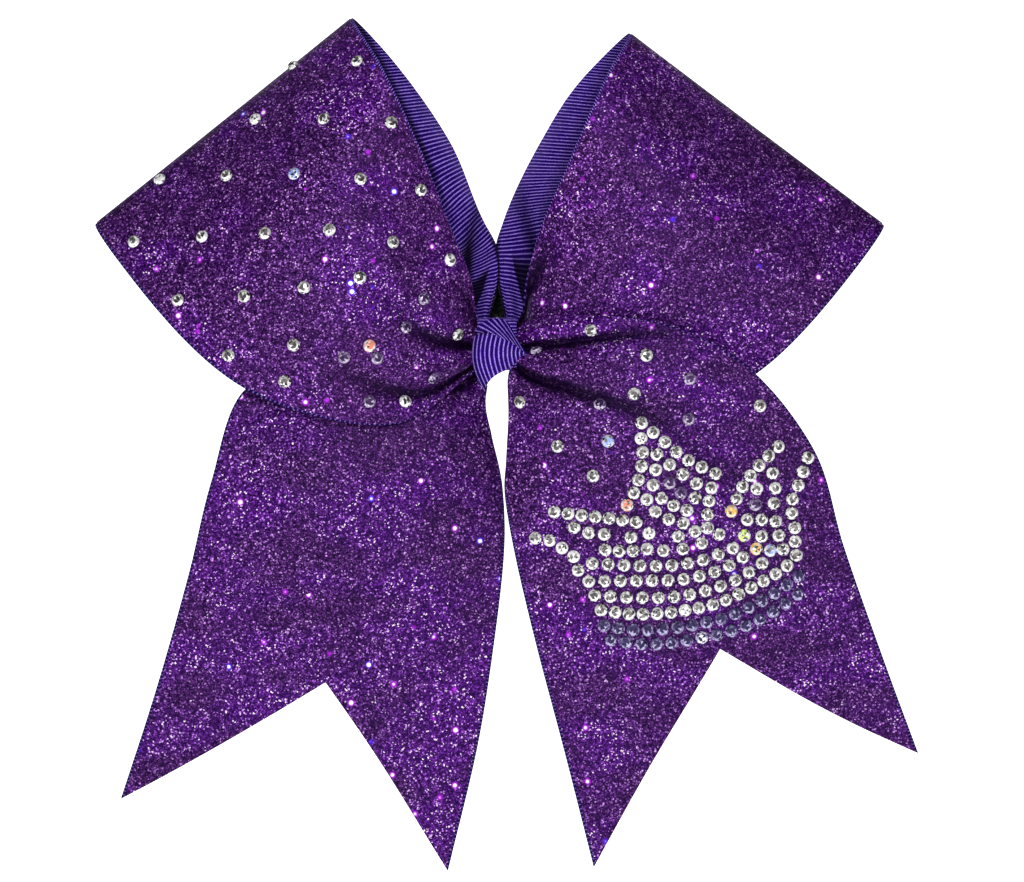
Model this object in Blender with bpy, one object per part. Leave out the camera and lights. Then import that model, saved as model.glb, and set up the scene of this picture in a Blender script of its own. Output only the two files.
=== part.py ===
"""A two-tailed cheer hair bow: one 3 in ribbon folded into two loops and two tails.

Upright as worn: the front faces -Y, +X is to the right of someone facing the bow, +Z is up, in metres.
The origin is the middle of the gathered ribbon. All the numbers below are in millimetres.
"""

import math

import bmesh
import bpy
import numpy as np
from mathutils import Vector
from mathutils.bvhtree import BVHTree

MM = 0.001

# The ribbon: a glitter face laminated on grosgrain. The two are drawn a little thicker than the real cloth.
BACKING_THICK = 0.55
FACE_THICK = 0.40
LAMINATE_GAP = 0.32
SELVEDGE = 0.010  # share of the width left bare of glitter along each edge

# Each rail is one long edge of a panel: (share of the way, x, y, z).
# A loop runs from its front neck (0) round the crease (0.5) to its back neck (1).
LEFT_LOOP_UPPER = (
    (0.00, -7.0, -5.2, 7.5), (0.13, -9.8, -9.0, 25.0), (0.28, -17.8, -13.0, 46.7), (0.42, -27.4, -11.0, 67.0),
    (0.50, -34.0, 2.0, 78.0), (0.57, -26.9, 6.5, 71.0), (0.72, -11.3, 8.0, 49.5), (0.88, -1.2, 7.0, 27.5),
    (0.94, -2.4, 5.8, 16.5), (1.00, -4.6, 4.4, 9.6),
)
LEFT_LOOP_LOWER = (
    (0.00, -7.0, -5.2, -6.0), (0.10, -21.0, -12.0, -16.6), (0.22, -43.0, -17.0, -15.2),
    (0.32, -62.0, -16.0, -7.0),
    (0.43, -82.0, -9.0, 12.5), (0.50, -94.3, 2.0, 29.3), (0.57, -84.0, 8.0, 24.0), (0.72, -58.0, 9.0, 9.5),
    (0.87, -28.0, 7.0, 2.0), (1.00, -7.4, 3.6, 0.0),
)
RIGHT_LOOP_UPPER = (
    (0.00, 7.8, -1.6, 8.5), (0.13, 9.0, -6.5, 24.5), (0.28, 17.0, -12.0, 44.3), (0.42, 25.6, -10.0, 64.0),
    (0.50, 31.0, 2.0, 74.4), (0.57, 22.4, 6.5, 66.5), (0.72, 11.0, 8.0, 50.5), (0.88, 1.3, 7.0, 28.0),
    (0.94, 2.4, 5.8, 16.5), (1.00, 4.8, 4.4, 9.6),
)
RIGHT_LOOP_LOWER = (
    (0.00, 7.8, -1.6, -4.0), (0.10, 21.0, -4.5, -13.5), (0.22, 42.0, -6.5, -13.0), (0.32, 60.0, -7.5, -6.0),
    (0.43, 79.5, -7.0, 13.5), (0.50, 90.8, 2.0, 29.1), (0.57, 81.5, 8.0, 24.0), (0.72, 57.0, 9.0, 9.5),
    (0.87, 28.0, 7.0, 2.0), (1.00, 7.8, 3.6, 0.0),
)
# A tail runs from its neck (0) to its two points (1).
LEFT_TAIL_OUTER = (
    (0.00, -7.2, -1.0, -5.0), (0.20, -31.0, -4.5, -5.2), (0.40, -59.0, -7.0, -9.4),
    (0.55, -66.8, -8.0, -31.0),
    (0.70, -72.2, -7.0, -53.0), (0.85, -79.6, -5.5, -79.0), (1.00, -88.0, -4.0, -105.0),
)
LEFT_TAIL_INNER = (
    (0.00, -3.4, -1.0, -11.4), (0.20, -1.2, -3.0, -20.0), (0.40, 1.4, -4.0, -33.0), (0.55, 1.7, -4.5, -47.0),
    (0.70, -0.6, -4.5, -68.0), (0.85, -4.6, -4.0, -93.0), (1.00, -11.5, -3.0, -122.0),
)
RIGHT_TAIL_OUTER = (
    (0.00, 8.8, -6.6, 7.8), (0.06, 13.4, -10.4, 8.0), (0.12, 22.0, -14.5, 8.0), (0.26, 41.0, -17.5, 5.2),
    (0.42, 60.8, -14.0, -6.2), (0.55, 74.0, -11.0, -23.5), (0.70, 81.0, -9.0, -46.0),
    (0.85, 90.2, -7.0, -72.0), (1.00, 98.5, -5.0, -94.3),
)
RIGHT_TAIL_INNER = (
    (0.00, 4.9, -6.4, -10.8), (0.12, 2.7, -7.0, -16.5), (0.26, 2.1, -8.0, -25.5), (0.42, 1.9, -8.5, -35.0),
    (0.55, 4.4, -8.5, -49.0), (0.70, 9.4, -8.0, -70.0), (0.85, 15.5, -7.0, -93.0), (1.00, 22.6, -5.0, -121.0),
)
LOOP_BELLY = 5.0
TAIL_BELLY = 5.0
# A tail's swallow-tail notch: its share of the way across from the outer edge, and how far up it reaches.
LEFT_NOTCH = (0.50, 0.197)
RIGHT_NOTCH = (0.46, 0.221)
PLEAT_HEIGHT = 0.8
PLEATS = 2
PLEAT_REACH = 0.13  # share of a panel's length in which its pleats die away

LOOP_STEPS, LOOP_ACROSS = 28, 16
TAIL_STEPS, TAIL_ACROSS = 18, 14

# The gathered middle, the thread round it, the knotted strap over it and the hair elastic.
PINCH_HALF_LENGTH = 4.6
PINCH_FRONT, PINCH_BACK, PINCH_HALF_HEIGHT = -6.6, 4.0, 5.0
THREAD_HALF_WIDTH = 1.8
STRAP_HALF_WIDTH = 4.6
STRAP_FRONT, STRAP_BACK, STRAP_TOP, STRAP_BOTTOM = -9.2, 11.2, 7.5, -7.7
STRAP_CORNER = 2.6
STRAP_THICK = 1.1
# Outlines of the knot's two folds in (x, z), the y of their flat backs and how far they stand out.
UPPER_FOLD = (
    (-5.4, 2.6), (-4.9, 5.2), (-2.6, 6.9), (0.5, 7.3), (2.1, 6.8), (4.2, 4.0),
    (5.8, 0.8), (6.0, -0.8), (2.5, -0.6), (-1.2, 0.4), (-4.0, 1.2),
)
UPPER_FOLD_BACK, UPPER_FOLD_RISE = -8.6, 3.6
LOWER_FOLD = (
    (-6.0, 1.8), (-5.9, -1.8), (-5.2, -5.0), (-4.0, -8.4), (-2.9, -9.9), (-1.8, -7.2),
    (1.9, -4.9), (4.3, -3.2), (6.3, -0.9), (5.2, 0.9), (1.6, 2.4), (-2.0, 3.5), (-4.8, 3.4),
)
LOWER_FOLD_BACK, LOWER_FOLD_RISE = -8.4, 5.2
ELASTIC_RADIUS = 2.0
# Half of the elastic's ring as (x, y, z): under the strap, up behind it, then round the ponytail.
ELASTIC_HALF_PATH = (
    (5.4, 7.5, 0.0), (7.6, 8.8, 0.6), (8.0, 11.0, 3.0), (7.2, 12.6, 5.6), (4.8, 13.7, 7.5), (2.5, 14.4, 8.8),
    (2.2, 15.2, 12.0), (2.3, 16.6, 17.0), (3.2, 20.0, 20.4), (7.0, 26.0, 21.5), (14.0, 33.0, 19.0),
    (18.0, 41.0, 15.5), (15.0, 49.0, 12.5), (7.5, 53.5, 11.0),
)
ELASTIC_STEPS, ELASTIC_SIDES = 64, 10

# Flat-back stones: SS12, 3.1 mm across.
STONE_RADIUS = 1.48
STONE_HEIGHT = 1.1
STONE_SIDES = 6
LOOP_SPOTS = (
    (-47.8, 66.6), (-32.6, 67.3), (-56.5, 53.9), (-40.3, 53.7), (-24.6, 52.8),
    (-79.0, 39.9), (-63.1, 40.6), (-47.1, 40.8), (-31.7, 39.6), (-17.8, 37.1),
    (-84.9, 25.3), (-68.7, 26.3), (-53.9, 27.0), (-38.9, 27.7), (-24.2, 24.9), (-11.0, 20.9),
    (-74.3, 11.5), (-58.7, 12.4), (-44.8, 14.3), (-31.8, 16.6), (-17.0, 11.8),
    (-62.4, -1.4), (-47.2, 1.0), (-35.5, -1.8), (-29.6, 0.8), (-27.8, -2.0), (-21.2, 5.1), (-9.2, 3.6),
    (-49.3, -7.4), (-29.7, -12.1), (-21.4, -12.1), (-14.8, -6.5),
)
TAIL_SPOTS = (
    (21.9, 4.5), (34.7, -1.4), (44.8, -6.8), (31.9, -10.3), (9.2, -0.4), (23.9, -12.8),
    (44.6, -16.2), (61.2, -13.1), (5.4, -12.2), (14.1, -22.5), (25.8, -21.3), (22.4, -29.4),
)
# The crown, as rows of stones: how many, then a few points that each row passes through.
CROWN_CLEAR_ROWS = (
    (16, (24.3, -60.7), (31.1, -61.6), (37.8, -61.5), (44.6, -60.6), (50.9, -59.3), (56.9, -56.7),
     (62.3, -53.8), (67.6, -50.4), (69.8, -47.9)),
    (12, (22.8, -57.3), (32.4, -57.8), (43.5, -57.3), (49.9, -55.8), (56.6, -53.2), (61.8, -49.8)),
    (12, (21.4, -54.0), (27.6, -53.9), (34.9, -53.8), (42.7, -53.6), (49.9, -52.0), (53.8, -50.4),
     (60.4, -46.4)),
    (10, (22.2, -49.8), (32.1, -50.3), (41.0, -50.2), (48.3, -48.9), (54.9, -46.2)),
    (4, (25.2, -46.6), (29.5, -47.0), (35.0, -46.4)),
    (4, (38.8, -46.8), (42.2, -46.6), (47.3, -45.2), (51.7, -43.0)),
    (2, (31.2, -43.7), (35.4, -42.8)),
    (2, (42.2, -43.5), (46.1, -42.3)),
    (4, (57.6, -43.3), (62.0, -43.5), (65.7, -43.3), (69.5, -44.7)),
    (2, (63.7, -46.8), (66.7, -46.5)),
    (3, (58.3, -39.6), (61.4, -39.6), (64.9, -40.0)),
    (5, (9.0, -43.9), (12.2, -44.4), (15.3, -46.3), (18.0, -48.4), (18.9, -51.4)),
    (7, (13.4, -37.8), (19.8, -38.6), (26.3, -39.3), (32.4, -40.2)),
    (3, (18.0, -41.4), (21.5, -42.7), (25.0, -43.0)),
    (7, (33.6, -17.1), (38.4, -21.0), (43.2, -25.0), (50.8, -28.9)),
    (6, (33.5, -20.7), (33.9, -24.0), (33.2, -29.2), (32.0, -33.0), (30.3, -36.2)),
    (4, (37.2, -24.4), (40.1, -26.8), (43.2, -29.0), (46.4, -31.2)),
    (6, (36.9, -28.0), (36.2, -32.0), (34.9, -35.3), (37.2, -38.0), (40.2, -39.6), (43.4, -40.4)),
    (3, (38.3, -34.6), (41.0, -36.2), (44.2, -37.4)),
    (1, (46.1, -34.5)),
    (4, (49.9, -32.2), (49.3, -35.4), (49.0, -38.4), (49.0, -41.5)),
    (7, (65.5, -22.6), (61.0, -27.0), (57.2, -31.8), (54.5, -37.6)),
    (3, (64.2, -28.8), (64.8, -32.2), (64.5, -35.8)),
    (1, (60.5, -32.4)),
    (6, (72.4, -25.2), (70.3, -31.3), (68.6, -36.0), (69.4, -41.5)),
)
CROWN_JEWELS = ((1, (40.2, -31.0)), (1, (42.8, -33.4)), (1, (60.2, -36.1)))
CROWN_BAND_ROWS = (
    (15, (24.9, -64.3), (31.5, -65.3), (38.2, -65.2), (45.6, -64.2), (52.4, -62.7), (58.6, -60.2),
     (64.4, -57.0), (70.4, -52.8)),
    (14, (26.6, -67.7), (33.5, -68.6), (40.5, -68.4), (47.0, -67.3), (53.9, -65.8), (60.2, -63.4),
     (66.0, -60.1), (70.2, -57.0)),
)
FILM_THICK = 0.22
FILM_LIFT = 0.28
CLEAR_FILM_TOP = (
    (7.2, -42.2), (12.0, -36.2), (31.0, -37.0), (32.0, -15.7), (36.0, -15.7), (52.6, -27.0),
    (55.5, -31.5), (64.6, -20.9), (67.2, -22.0), (73.0, -24.6),
)
CLEAR_FILM_BOTTOM = (
    (7.2, -45.6), (15.0, -48.8), (22.8, -62.2), (31.1, -63.1), (37.8, -63.1), (44.6, -62.2), (51.0, -60.9),
    (57.3, -58.2), (63.0, -55.2), (68.5, -51.7), (73.0, -47.6),
)
DARK_FILM_TOP = (
    (23.4, -62.8), (31.1, -63.8), (37.8, -63.8), (44.6, -62.9), (51.0, -61.6), (57.3, -58.9), (63.0, -55.9),
    (68.5, -52.4), (72.0, -50.0),
)
DARK_FILM_BOTTOM = (
    (23.4, -69.0), (33.5, -70.2), (40.6, -70.0), (53.9, -67.4), (60.4, -65.0), (66.4, -61.6), (72.0, -57.2),
)


def clear_scene():
    for ob in list(bpy.data.objects):
        bpy.data.objects.remove(ob)
    bpy.context.scene.unit_settings.scale_length = 1.0


def material(name, colour, roughness, metallic=0.0):
    made = bpy.data.materials.new(name)
    made.use_nodes = True
    shader = made.node_tree.nodes["Principled BSDF"]
    shader.inputs["Base Color"].default_value = (*colour, 1.0)
    shader.inputs["Roughness"].default_value = roughness
    shader.inputs["Metallic"].default_value = metallic
    return made


def mesh_object(name, points, faces, look):
    """A mesh object from points in millimetres, with its normals facing out."""
    mesh = bpy.data.meshes.new(name)
    mesh.from_pydata([tuple(c * MM for c in p) for p in points], [], faces)
    shape = bmesh.new()
    shape.from_mesh(mesh)
    bmesh.ops.recalc_face_normals(shape, faces=shape.faces)
    shape.to_mesh(mesh)
    shape.free()
    mesh.materials.append(look)
    ob = bpy.data.objects.new(name, mesh)
    bpy.context.collection.objects.link(ob)
    return ob


def join(ob, other):
    """Unites other with ob and removes it."""
    union = ob.modifiers.new("union", "BOOLEAN")
    union.operation = "UNION"
    union.solver = "EXACT"
    union.object = other
    bpy.context.view_layer.update()
    graph = bpy.context.evaluated_depsgraph_get()
    joined = bpy.data.meshes.new_from_object(ob.evaluated_get(graph))
    ob.modifiers.remove(union)
    ob.data = joined
    bpy.data.objects.remove(other)
    return ob


def rail_point(rail, share):
    """The point of a rail at this share of its way, on a smooth curve through its points."""
    knots = np.array(rail)
    at = knots[:, 0]
    slopes = np.gradient(knots[:, 1:], at, axis=0)
    i = int(np.clip(np.searchsorted(at, share, side="right") - 1, 0, len(at) - 2))
    span = at[i + 1] - at[i]
    t = (share - at[i]) / span
    a, b = knots[i, 1:], knots[i + 1, 1:]
    return (
        (2 * t**3 - 3 * t**2 + 1) * a
        + (t**3 - 2 * t**2 + t) * span * slopes[i]
        + (3 * t**2 - 2 * t**3) * b
        + (t**3 - t**2) * span * slopes[i + 1]
    )


def pleat(across, from_neck):
    """The height of the pleats, which gather the ribbon at its neck and die away along it."""
    fade = math.exp(-((from_neck / PLEAT_REACH) ** 2))
    return PLEAT_HEIGHT * fade * math.sin(2 * math.pi * PLEATS * across)


def loop_point(upper, lower, along, across, pleated=True):
    """A point on the middle of a loop's ribbon."""
    point = (1 - across) * rail_point(upper, along) + across * rail_point(lower, along)
    point[1] -= LOOP_BELLY * math.sin(math.pi * across) * math.sin(2 * math.pi * along)
    if pleated:
        point[1] += pleat(across, min(along, 1 - along))
    return point


def tail_point(notch, outer, inner, along, across, pleated=True):
    """A point on the middle of a tail's ribbon, drawn up in the middle for its notch."""
    middle, depth = notch
    drawn = along * (1 - depth * (1 - abs(2 * across - 1)))
    over = float(np.interp(across, (0.0, 0.5, 1.0), (0.0, middle, 1.0)))
    point = (1 - over) * rail_point(outer, drawn) + over * rail_point(inner, drawn)
    swell = math.sin(math.pi * min(drawn / 0.8, 1.0))
    point[1] -= TAIL_BELLY * math.sin(math.pi * across) * swell
    if pleated:
        point[1] += pleat(across, drawn)
    return point


def surface_grid(place, steps, across, margin):
    """Points of a panel on a grid, which stops this share of the width short of its edges, and the unit
    normals that the panel would have there without its pleats.
    """
    small = 1e-3
    points, normals = [], []
    for i in range(steps + 1):
        for j in range(across + 1):
            s, v = i / steps, min(max(j / across, margin), 1 - margin)
            points.append(place(s, v))
            ds = place(min(s + small, 1), v, False) - place(max(s - small, 0), v, False)
            dv = place(s, min(v + small, 1), False) - place(s, max(v - small, 0), False)
            n = np.cross(ds, dv)
            normals.append(n / np.linalg.norm(n))
    return np.array(points), np.array(normals)


def layer(name, place, grid, margin, lifts, look):
    """One layer of the ribbon: the panel's surface between two lifts along its normal, as a closed solid."""
    steps, across = grid
    points, normals = surface_grid(place, steps, across, margin)
    if normals[across // 2][1] > 0:
        normals = -normals
    low = points + normals * lifts[0]
    high = points + normals * lifts[1]
    row = across + 1
    size = len(points)
    faces = []
    for i in range(steps):
        for j in range(across):
            a, b, c, d = i * row + j, i * row + j + 1, (i + 1) * row + j + 1, (i + 1) * row + j
            faces += [(a, b, c, d), (size + d, size + c, size + b, size + a)]
    rim = [i * row for i in range(steps)]
    rim += [steps * row + j for j in range(across)]
    rim += [i * row + across for i in range(steps, 0, -1)]
    rim += list(range(across, 0, -1))
    for k, a in enumerate(rim):
        b = rim[(k + 1) % len(rim)]
        faces.append((a, b, size + b, size + a))
    return mesh_object(name, np.vstack([low, high]), faces, look)


def panel(name, shape, rails, grid, looks):
    """A panel's grosgrain backing and its glitter face, which is the side that faces out."""

    def place(along, across, pleated=True):
        return shape(*rails, along, across, pleated)

    half = LAMINATE_GAP / 2
    backing = layer(f"{name}_backing", place, grid, 0.0, (-half - BACKING_THICK, -half), looks["grosgrain"])
    face = layer(f"{name}_glitter_face", place, grid, SELVEDGE, (half, half + FACE_THICK), looks["glitter"])
    return backing, face


def fluted_ring(offset, count=26):
    """The gathered middle's outline in Y and Z, fluted by the folds of ribbon in it."""
    middle = (PINCH_FRONT + PINCH_BACK) / 2
    half_depth = (PINCH_BACK - PINCH_FRONT) / 2
    ring = []
    for k in range(count):
        a = 2 * math.pi * k / count
        flute = 0.25 * (-1) ** k
        c, s = math.cos(a), math.sin(a)
        squareness = (abs(c) ** 4 + abs(s) ** 4) ** -0.25
        ring.append((
            middle + (half_depth - 0.25 + flute + offset) * c * squareness,
            (PINCH_HALF_HEIGHT - 0.25 + flute + offset) * s * squareness,
        ))
    return ring


def prism(name, sections, look, tube=False):
    """A solid through (x, outline) sections. A tube is closed from its last section to its first."""
    points = [(x, y, z) for x, ring in sections for y, z in ring]
    n = len(sections[0][1])
    faces = []
    last = len(sections) if tube else len(sections) - 1
    for i in range(last):
        a, b = i * n, ((i + 1) % len(sections)) * n
        faces += [(a + k, a + (k + 1) % n, b + (k + 1) % n, b + k) for k in range(n)]
    if not tube:
        faces.append(tuple(range(n)))
        faces.append(tuple(reversed(range(len(points) - n, len(points)))))
    return mesh_object(name, points, faces, look)


def ribbon_pinch(look):
    ends = (-PINCH_HALF_LENGTH, PINCH_HALF_LENGTH)
    return prism("ribbon_pinch", [(x, fluted_ring(0.0)) for x in ends], look)


def cinch_thread(look):
    """Three turns of thread round the gathered middle, pulled into one band."""
    turn = 2 * THREAD_HALF_WIDTH / 3
    sections = []
    for i in range(3):
        start = -THREAD_HALF_WIDTH + i * turn
        sections.append((start, fluted_ring(0.75)))
        sections.append((start + turn / 2, fluted_ring(1.0)))
    sections.append((THREAD_HALF_WIDTH, fluted_ring(0.75)))
    sections.append((THREAD_HALF_WIDTH, fluted_ring(0.35)))
    sections.append((-THREAD_HALF_WIDTH, fluted_ring(0.35)))
    return prism("cinch_thread", sections, look, tube=True)


def strap_ring(inset):
    """The strap's outline in Y and Z, inset from its outside: flat at the back, rounded at its corners."""
    corner = STRAP_CORNER - inset
    ring = []
    for y, z, start in (
        (STRAP_BACK - STRAP_CORNER, STRAP_TOP - STRAP_CORNER, 0),
        (STRAP_FRONT + STRAP_CORNER, STRAP_TOP - STRAP_CORNER, 90),
        (STRAP_FRONT + STRAP_CORNER, STRAP_BOTTOM + STRAP_CORNER, 180),
        (STRAP_BACK - STRAP_CORNER, STRAP_BOTTOM + STRAP_CORNER, 270),
    ):
        for k in range(5):
            a = math.radians(start + 22.5 * k)
            ring.append((y + corner * math.cos(a), z + corner * math.sin(a)))
    return ring


def fold(name, outline, back, rise, look):
    """One fold of the knot: a cushion on this outline in X and Z."""
    outline = np.array(outline)
    centre = outline.mean(axis=0)
    levels = ((1.0, 0.0), (0.97, 0.45), (0.85, 0.75), (0.6, 0.94))
    points = []
    for share, height in levels:
        for p in centre + (outline - centre) * share:
            points.append((p[0], back - rise * height, p[1]))
    points.append((centre[0], back - rise, centre[1]))
    n = len(outline)
    faces = [tuple(range(n))]
    for i in range(len(levels) - 1):
        a, b = i * n, (i + 1) * n
        faces += [(a + k, a + (k + 1) % n, b + (k + 1) % n, b + k) for k in range(n)]
    top = (len(levels) - 1) * n
    faces += [(top + k, top + (k + 1) % n, len(points) - 1) for k in range(n)]
    return mesh_object(name, points, faces, look)


def centre_knot(look):
    """The strap over the gathered middle, knotted in front: one piece with two folds that cross."""
    half = STRAP_HALF_WIDTH
    outside, inside = strap_ring(0.0), strap_ring(STRAP_THICK)
    sections = [(-half, outside), (half, outside), (half, inside), (-half, inside)]
    strap = prism("centre_knot", sections, look, tube=True)
    upper = fold("upper_fold", UPPER_FOLD, UPPER_FOLD_BACK, UPPER_FOLD_RISE, look)
    lower = fold("lower_fold", LOWER_FOLD, LOWER_FOLD_BACK, LOWER_FOLD_RISE, look)
    return join(join(strap, upper), lower)


def hair_elastic(look):
    """A closed ring of round elastic. Its straight part passes under the strap, on the axis it swings on."""
    right = [np.array(p) for p in ELASTIC_HALF_PATH]
    left = [p * (-1, 1, 1) for p in reversed(right)]
    path = smooth_closed([(0.0, 7.5, 0.0), *right, (0.0, 54.6, 10.6), *left], ELASTIC_STEPS)
    points = []
    side = np.array((0.0, 0.0, 1.0))
    for i, middle in enumerate(path):
        along = path[(i + 1) % len(path)] - path[i - 1]
        along /= np.linalg.norm(along)
        side = side - np.dot(side, along) * along
        side /= np.linalg.norm(side)
        up = np.cross(side, along)
        for k in range(ELASTIC_SIDES):
            a = 2 * math.pi * k / ELASTIC_SIDES
            points.append(middle + ELASTIC_RADIUS * (math.cos(a) * side + math.sin(a) * up))
    faces = []
    for i in range(len(path)):
        a, b = i * ELASTIC_SIDES, ((i + 1) % len(path)) * ELASTIC_SIDES
        for k in range(ELASTIC_SIDES):
            after = (k + 1) % ELASTIC_SIDES
            faces.append((a + k, a + after, b + after, b + k))
    return mesh_object("hair_elastic", points, faces, look)


def smooth_closed(path, count):
    """count evenly spread points on a smooth closed curve through path."""
    knots = np.array([path[-1], *path, path[0], path[1]])
    steps = np.linalg.norm(np.diff(knots, axis=0), axis=1)
    at = np.concatenate([[-steps[0], 0.0], np.cumsum(steps[1:])])
    rail = np.column_stack([at, knots])
    return [rail_point(rail, at[-2] * k / count) for k in range(count)]


def tree_of(ob):
    faces = [tuple(f.vertices) for f in ob.data.polygons]
    return BVHTree.FromPolygons([v.co for v in ob.data.vertices], faces)


def on_front(tree, x, z):
    """Where a line along +Y at this x and z first meets the surface, and its normal there, in millimetres."""
    hit, normal, _, _ = tree.ray_cast(Vector((x * MM, -0.2, z * MM)), Vector((0, 1, 0)))
    normal = np.array(normal)
    if normal[1] > 0:
        normal = -normal
    return np.array(hit) / MM, normal


def stone_shape(at, normal, lift):
    """A flat-back stone as points and faces: a base ring, a girdle and a smaller table."""
    side = np.cross(normal, (0.0, 0.0, 1.0))
    side /= np.linalg.norm(side)
    up = np.cross(side, normal)
    points = []
    for radius, height in ((STONE_RADIUS, lift), (0.6 * STONE_RADIUS, lift + STONE_HEIGHT)):
        for k in range(STONE_SIDES):
            a = 2 * math.pi * k / STONE_SIDES
            points.append(at + normal * height + radius * (math.cos(a) * side + math.sin(a) * up))
    n = STONE_SIDES
    faces = [tuple(reversed(range(n))), tuple(range(n, 2 * n))]
    faces += [(k, (k + 1) % n, n + (k + 1) % n, n + k) for k in range(n)]
    return points, faces


def spots(prefix, places, face, look):
    """Single stones, each its own piece, set on a glitter face."""
    tree = tree_of(face)
    made = []
    for x, z in places:
        points, faces = stone_shape(*on_front(tree, x, z), LAMINATE_GAP)
        made.append(mesh_object(f"{prefix}_{len(made) + 1:02d}", points, faces, look))
    return made


def evenly(count, *line):
    """count points evenly spread along a smooth curve through a row's points."""
    if count == 1:
        return list(line)
    knots = np.array(line)
    at = np.concatenate([[0.0], np.cumsum(np.linalg.norm(np.diff(knots, axis=0), axis=1))])
    rail = np.column_stack([at, knots])
    return [rail_point(rail, at[-1] * k / (count - 1)) for k in range(count)]


def height_between(line, x):
    xs, zs = zip(*line, strict=True)
    return float(np.interp(x, xs, zs))


def film(name, top, bottom, tree, look):
    """The thin glue film under a motif, which follows the ribbon between two edges."""
    columns, rows = 30, 5
    start, end = top[0][0], top[-1][0]
    low, high = [], []
    for i in range(columns + 1):
        x = start + (end - start) * i / columns
        z0, z1 = height_between(bottom, x), height_between(top, x)
        for j in range(rows + 1):
            at, _ = on_front(tree, x, z0 + (z1 - z0) * j / rows)
            low.append(at + (0, -FILM_LIFT, 0))
            high.append(at + (0, -FILM_LIFT - FILM_THICK, 0))
    row = rows + 1
    size = len(low)
    faces = []
    for i in range(columns):
        for j in range(rows):
            a, b, c, d = i * row + j, i * row + j + 1, (i + 1) * row + j + 1, (i + 1) * row + j
            faces += [(a, b, c, d), (size + d, size + c, size + b, size + a)]
    rim = [i * row for i in range(columns)]
    rim += [columns * row + j for j in range(rows)]
    rim += [i * row + rows for i in range(columns, 0, -1)]
    rim += list(range(rows, 0, -1))
    for k, a in enumerate(rim):
        b = rim[(k + 1) % len(rim)]
        faces.append((a, b, size + b, size + a))
    return mesh_object(name, low + high, faces, look)


def motif(name, places, edges, face, look):
    """A motif's stones on their film, as one piece."""
    tree = tree_of(face)
    sheet = film(name, *edges, tree, look)
    points, faces = [], []
    for x, z in places:
        more, sides = stone_shape(*on_front(tree, x, z), FILM_LIFT + 0.6 * FILM_THICK)
        faces += [tuple(k + len(points) for k in f) for f in sides]
        points += more
    stones = mesh_object("stones", points, faces, look)
    return join(sheet, stones)


def main():
    clear_scene()
    looks = {
        "glitter": material("purple_glitter_film", (0.20, 0.03, 0.42), 0.35, metallic=0.6),
        "grosgrain": material("purple_grosgrain", (0.16, 0.03, 0.36), 0.75),
        "thread": material("black_thread", (0.02, 0.02, 0.02), 0.8),
        "elastic": material("black_elastic", (0.015, 0.015, 0.017), 0.85),
        "clear": material("clear_crystal", (0.85, 0.87, 0.9), 0.05, metallic=0.5),
        "violet": material("violet_crystal", (0.10, 0.03, 0.22), 0.08, metallic=0.5),
    }
    loop_grid, tail_grid = (LOOP_STEPS, LOOP_ACROSS), (TAIL_STEPS, TAIL_ACROSS)
    _, left_face = panel("left_loop", loop_point, (LEFT_LOOP_UPPER, LEFT_LOOP_LOWER), loop_grid, looks)
    panel("right_loop", loop_point, (RIGHT_LOOP_UPPER, RIGHT_LOOP_LOWER), loop_grid, looks)
    panel("left_tail", tail_point, (LEFT_NOTCH, LEFT_TAIL_OUTER, LEFT_TAIL_INNER), tail_grid, looks)
    right_tail_rails = (RIGHT_NOTCH, RIGHT_TAIL_OUTER, RIGHT_TAIL_INNER)
    _, tail_face = panel("right_tail", tail_point, right_tail_rails, tail_grid, looks)
    ribbon_pinch(looks["grosgrain"])
    cinch_thread(looks["thread"])
    centre_knot(looks["grosgrain"])
    hair_elastic(looks["elastic"])
    spots("loop_stone", LOOP_SPOTS, left_face, looks["clear"])
    spots("tail_stone", TAIL_SPOTS, tail_face, looks["clear"])
    clear = [p for row in CROWN_CLEAR_ROWS + CROWN_JEWELS for p in evenly(*row)]
    band = [p for row in CROWN_BAND_ROWS for p in evenly(*row)]
    motif("crown_clear_stones", clear, (CLEAR_FILM_TOP, CLEAR_FILM_BOTTOM), tail_face, looks["clear"])
    motif("crown_violet_stones", band, (DARK_FILM_TOP, DARK_FILM_BOTTOM), tail_face, looks["violet"])


main()
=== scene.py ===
"""Looks of the cheer hair bow: ribbon, knot, stones, elastic, white cove, soft light and camera."""

import math
from functools import partial

import bmesh
import bpy
import numpy as np
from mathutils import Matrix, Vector
from mathutils.bvhtree import BVHTree

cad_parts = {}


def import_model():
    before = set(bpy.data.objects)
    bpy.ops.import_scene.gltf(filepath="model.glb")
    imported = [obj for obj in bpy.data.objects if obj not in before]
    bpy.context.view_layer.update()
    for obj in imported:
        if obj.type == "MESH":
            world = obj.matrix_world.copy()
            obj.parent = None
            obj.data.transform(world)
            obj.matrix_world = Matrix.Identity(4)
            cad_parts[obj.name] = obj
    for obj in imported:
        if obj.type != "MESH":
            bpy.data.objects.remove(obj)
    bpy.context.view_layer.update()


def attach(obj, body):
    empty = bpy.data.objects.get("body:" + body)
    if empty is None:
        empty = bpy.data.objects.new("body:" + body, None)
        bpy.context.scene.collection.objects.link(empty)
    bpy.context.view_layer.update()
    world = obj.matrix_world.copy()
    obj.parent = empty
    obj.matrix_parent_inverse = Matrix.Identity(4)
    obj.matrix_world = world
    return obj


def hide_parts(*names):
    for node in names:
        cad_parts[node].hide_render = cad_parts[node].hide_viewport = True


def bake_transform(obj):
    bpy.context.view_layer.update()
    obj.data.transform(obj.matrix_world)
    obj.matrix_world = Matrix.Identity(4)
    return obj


MM = 0.001

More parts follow.
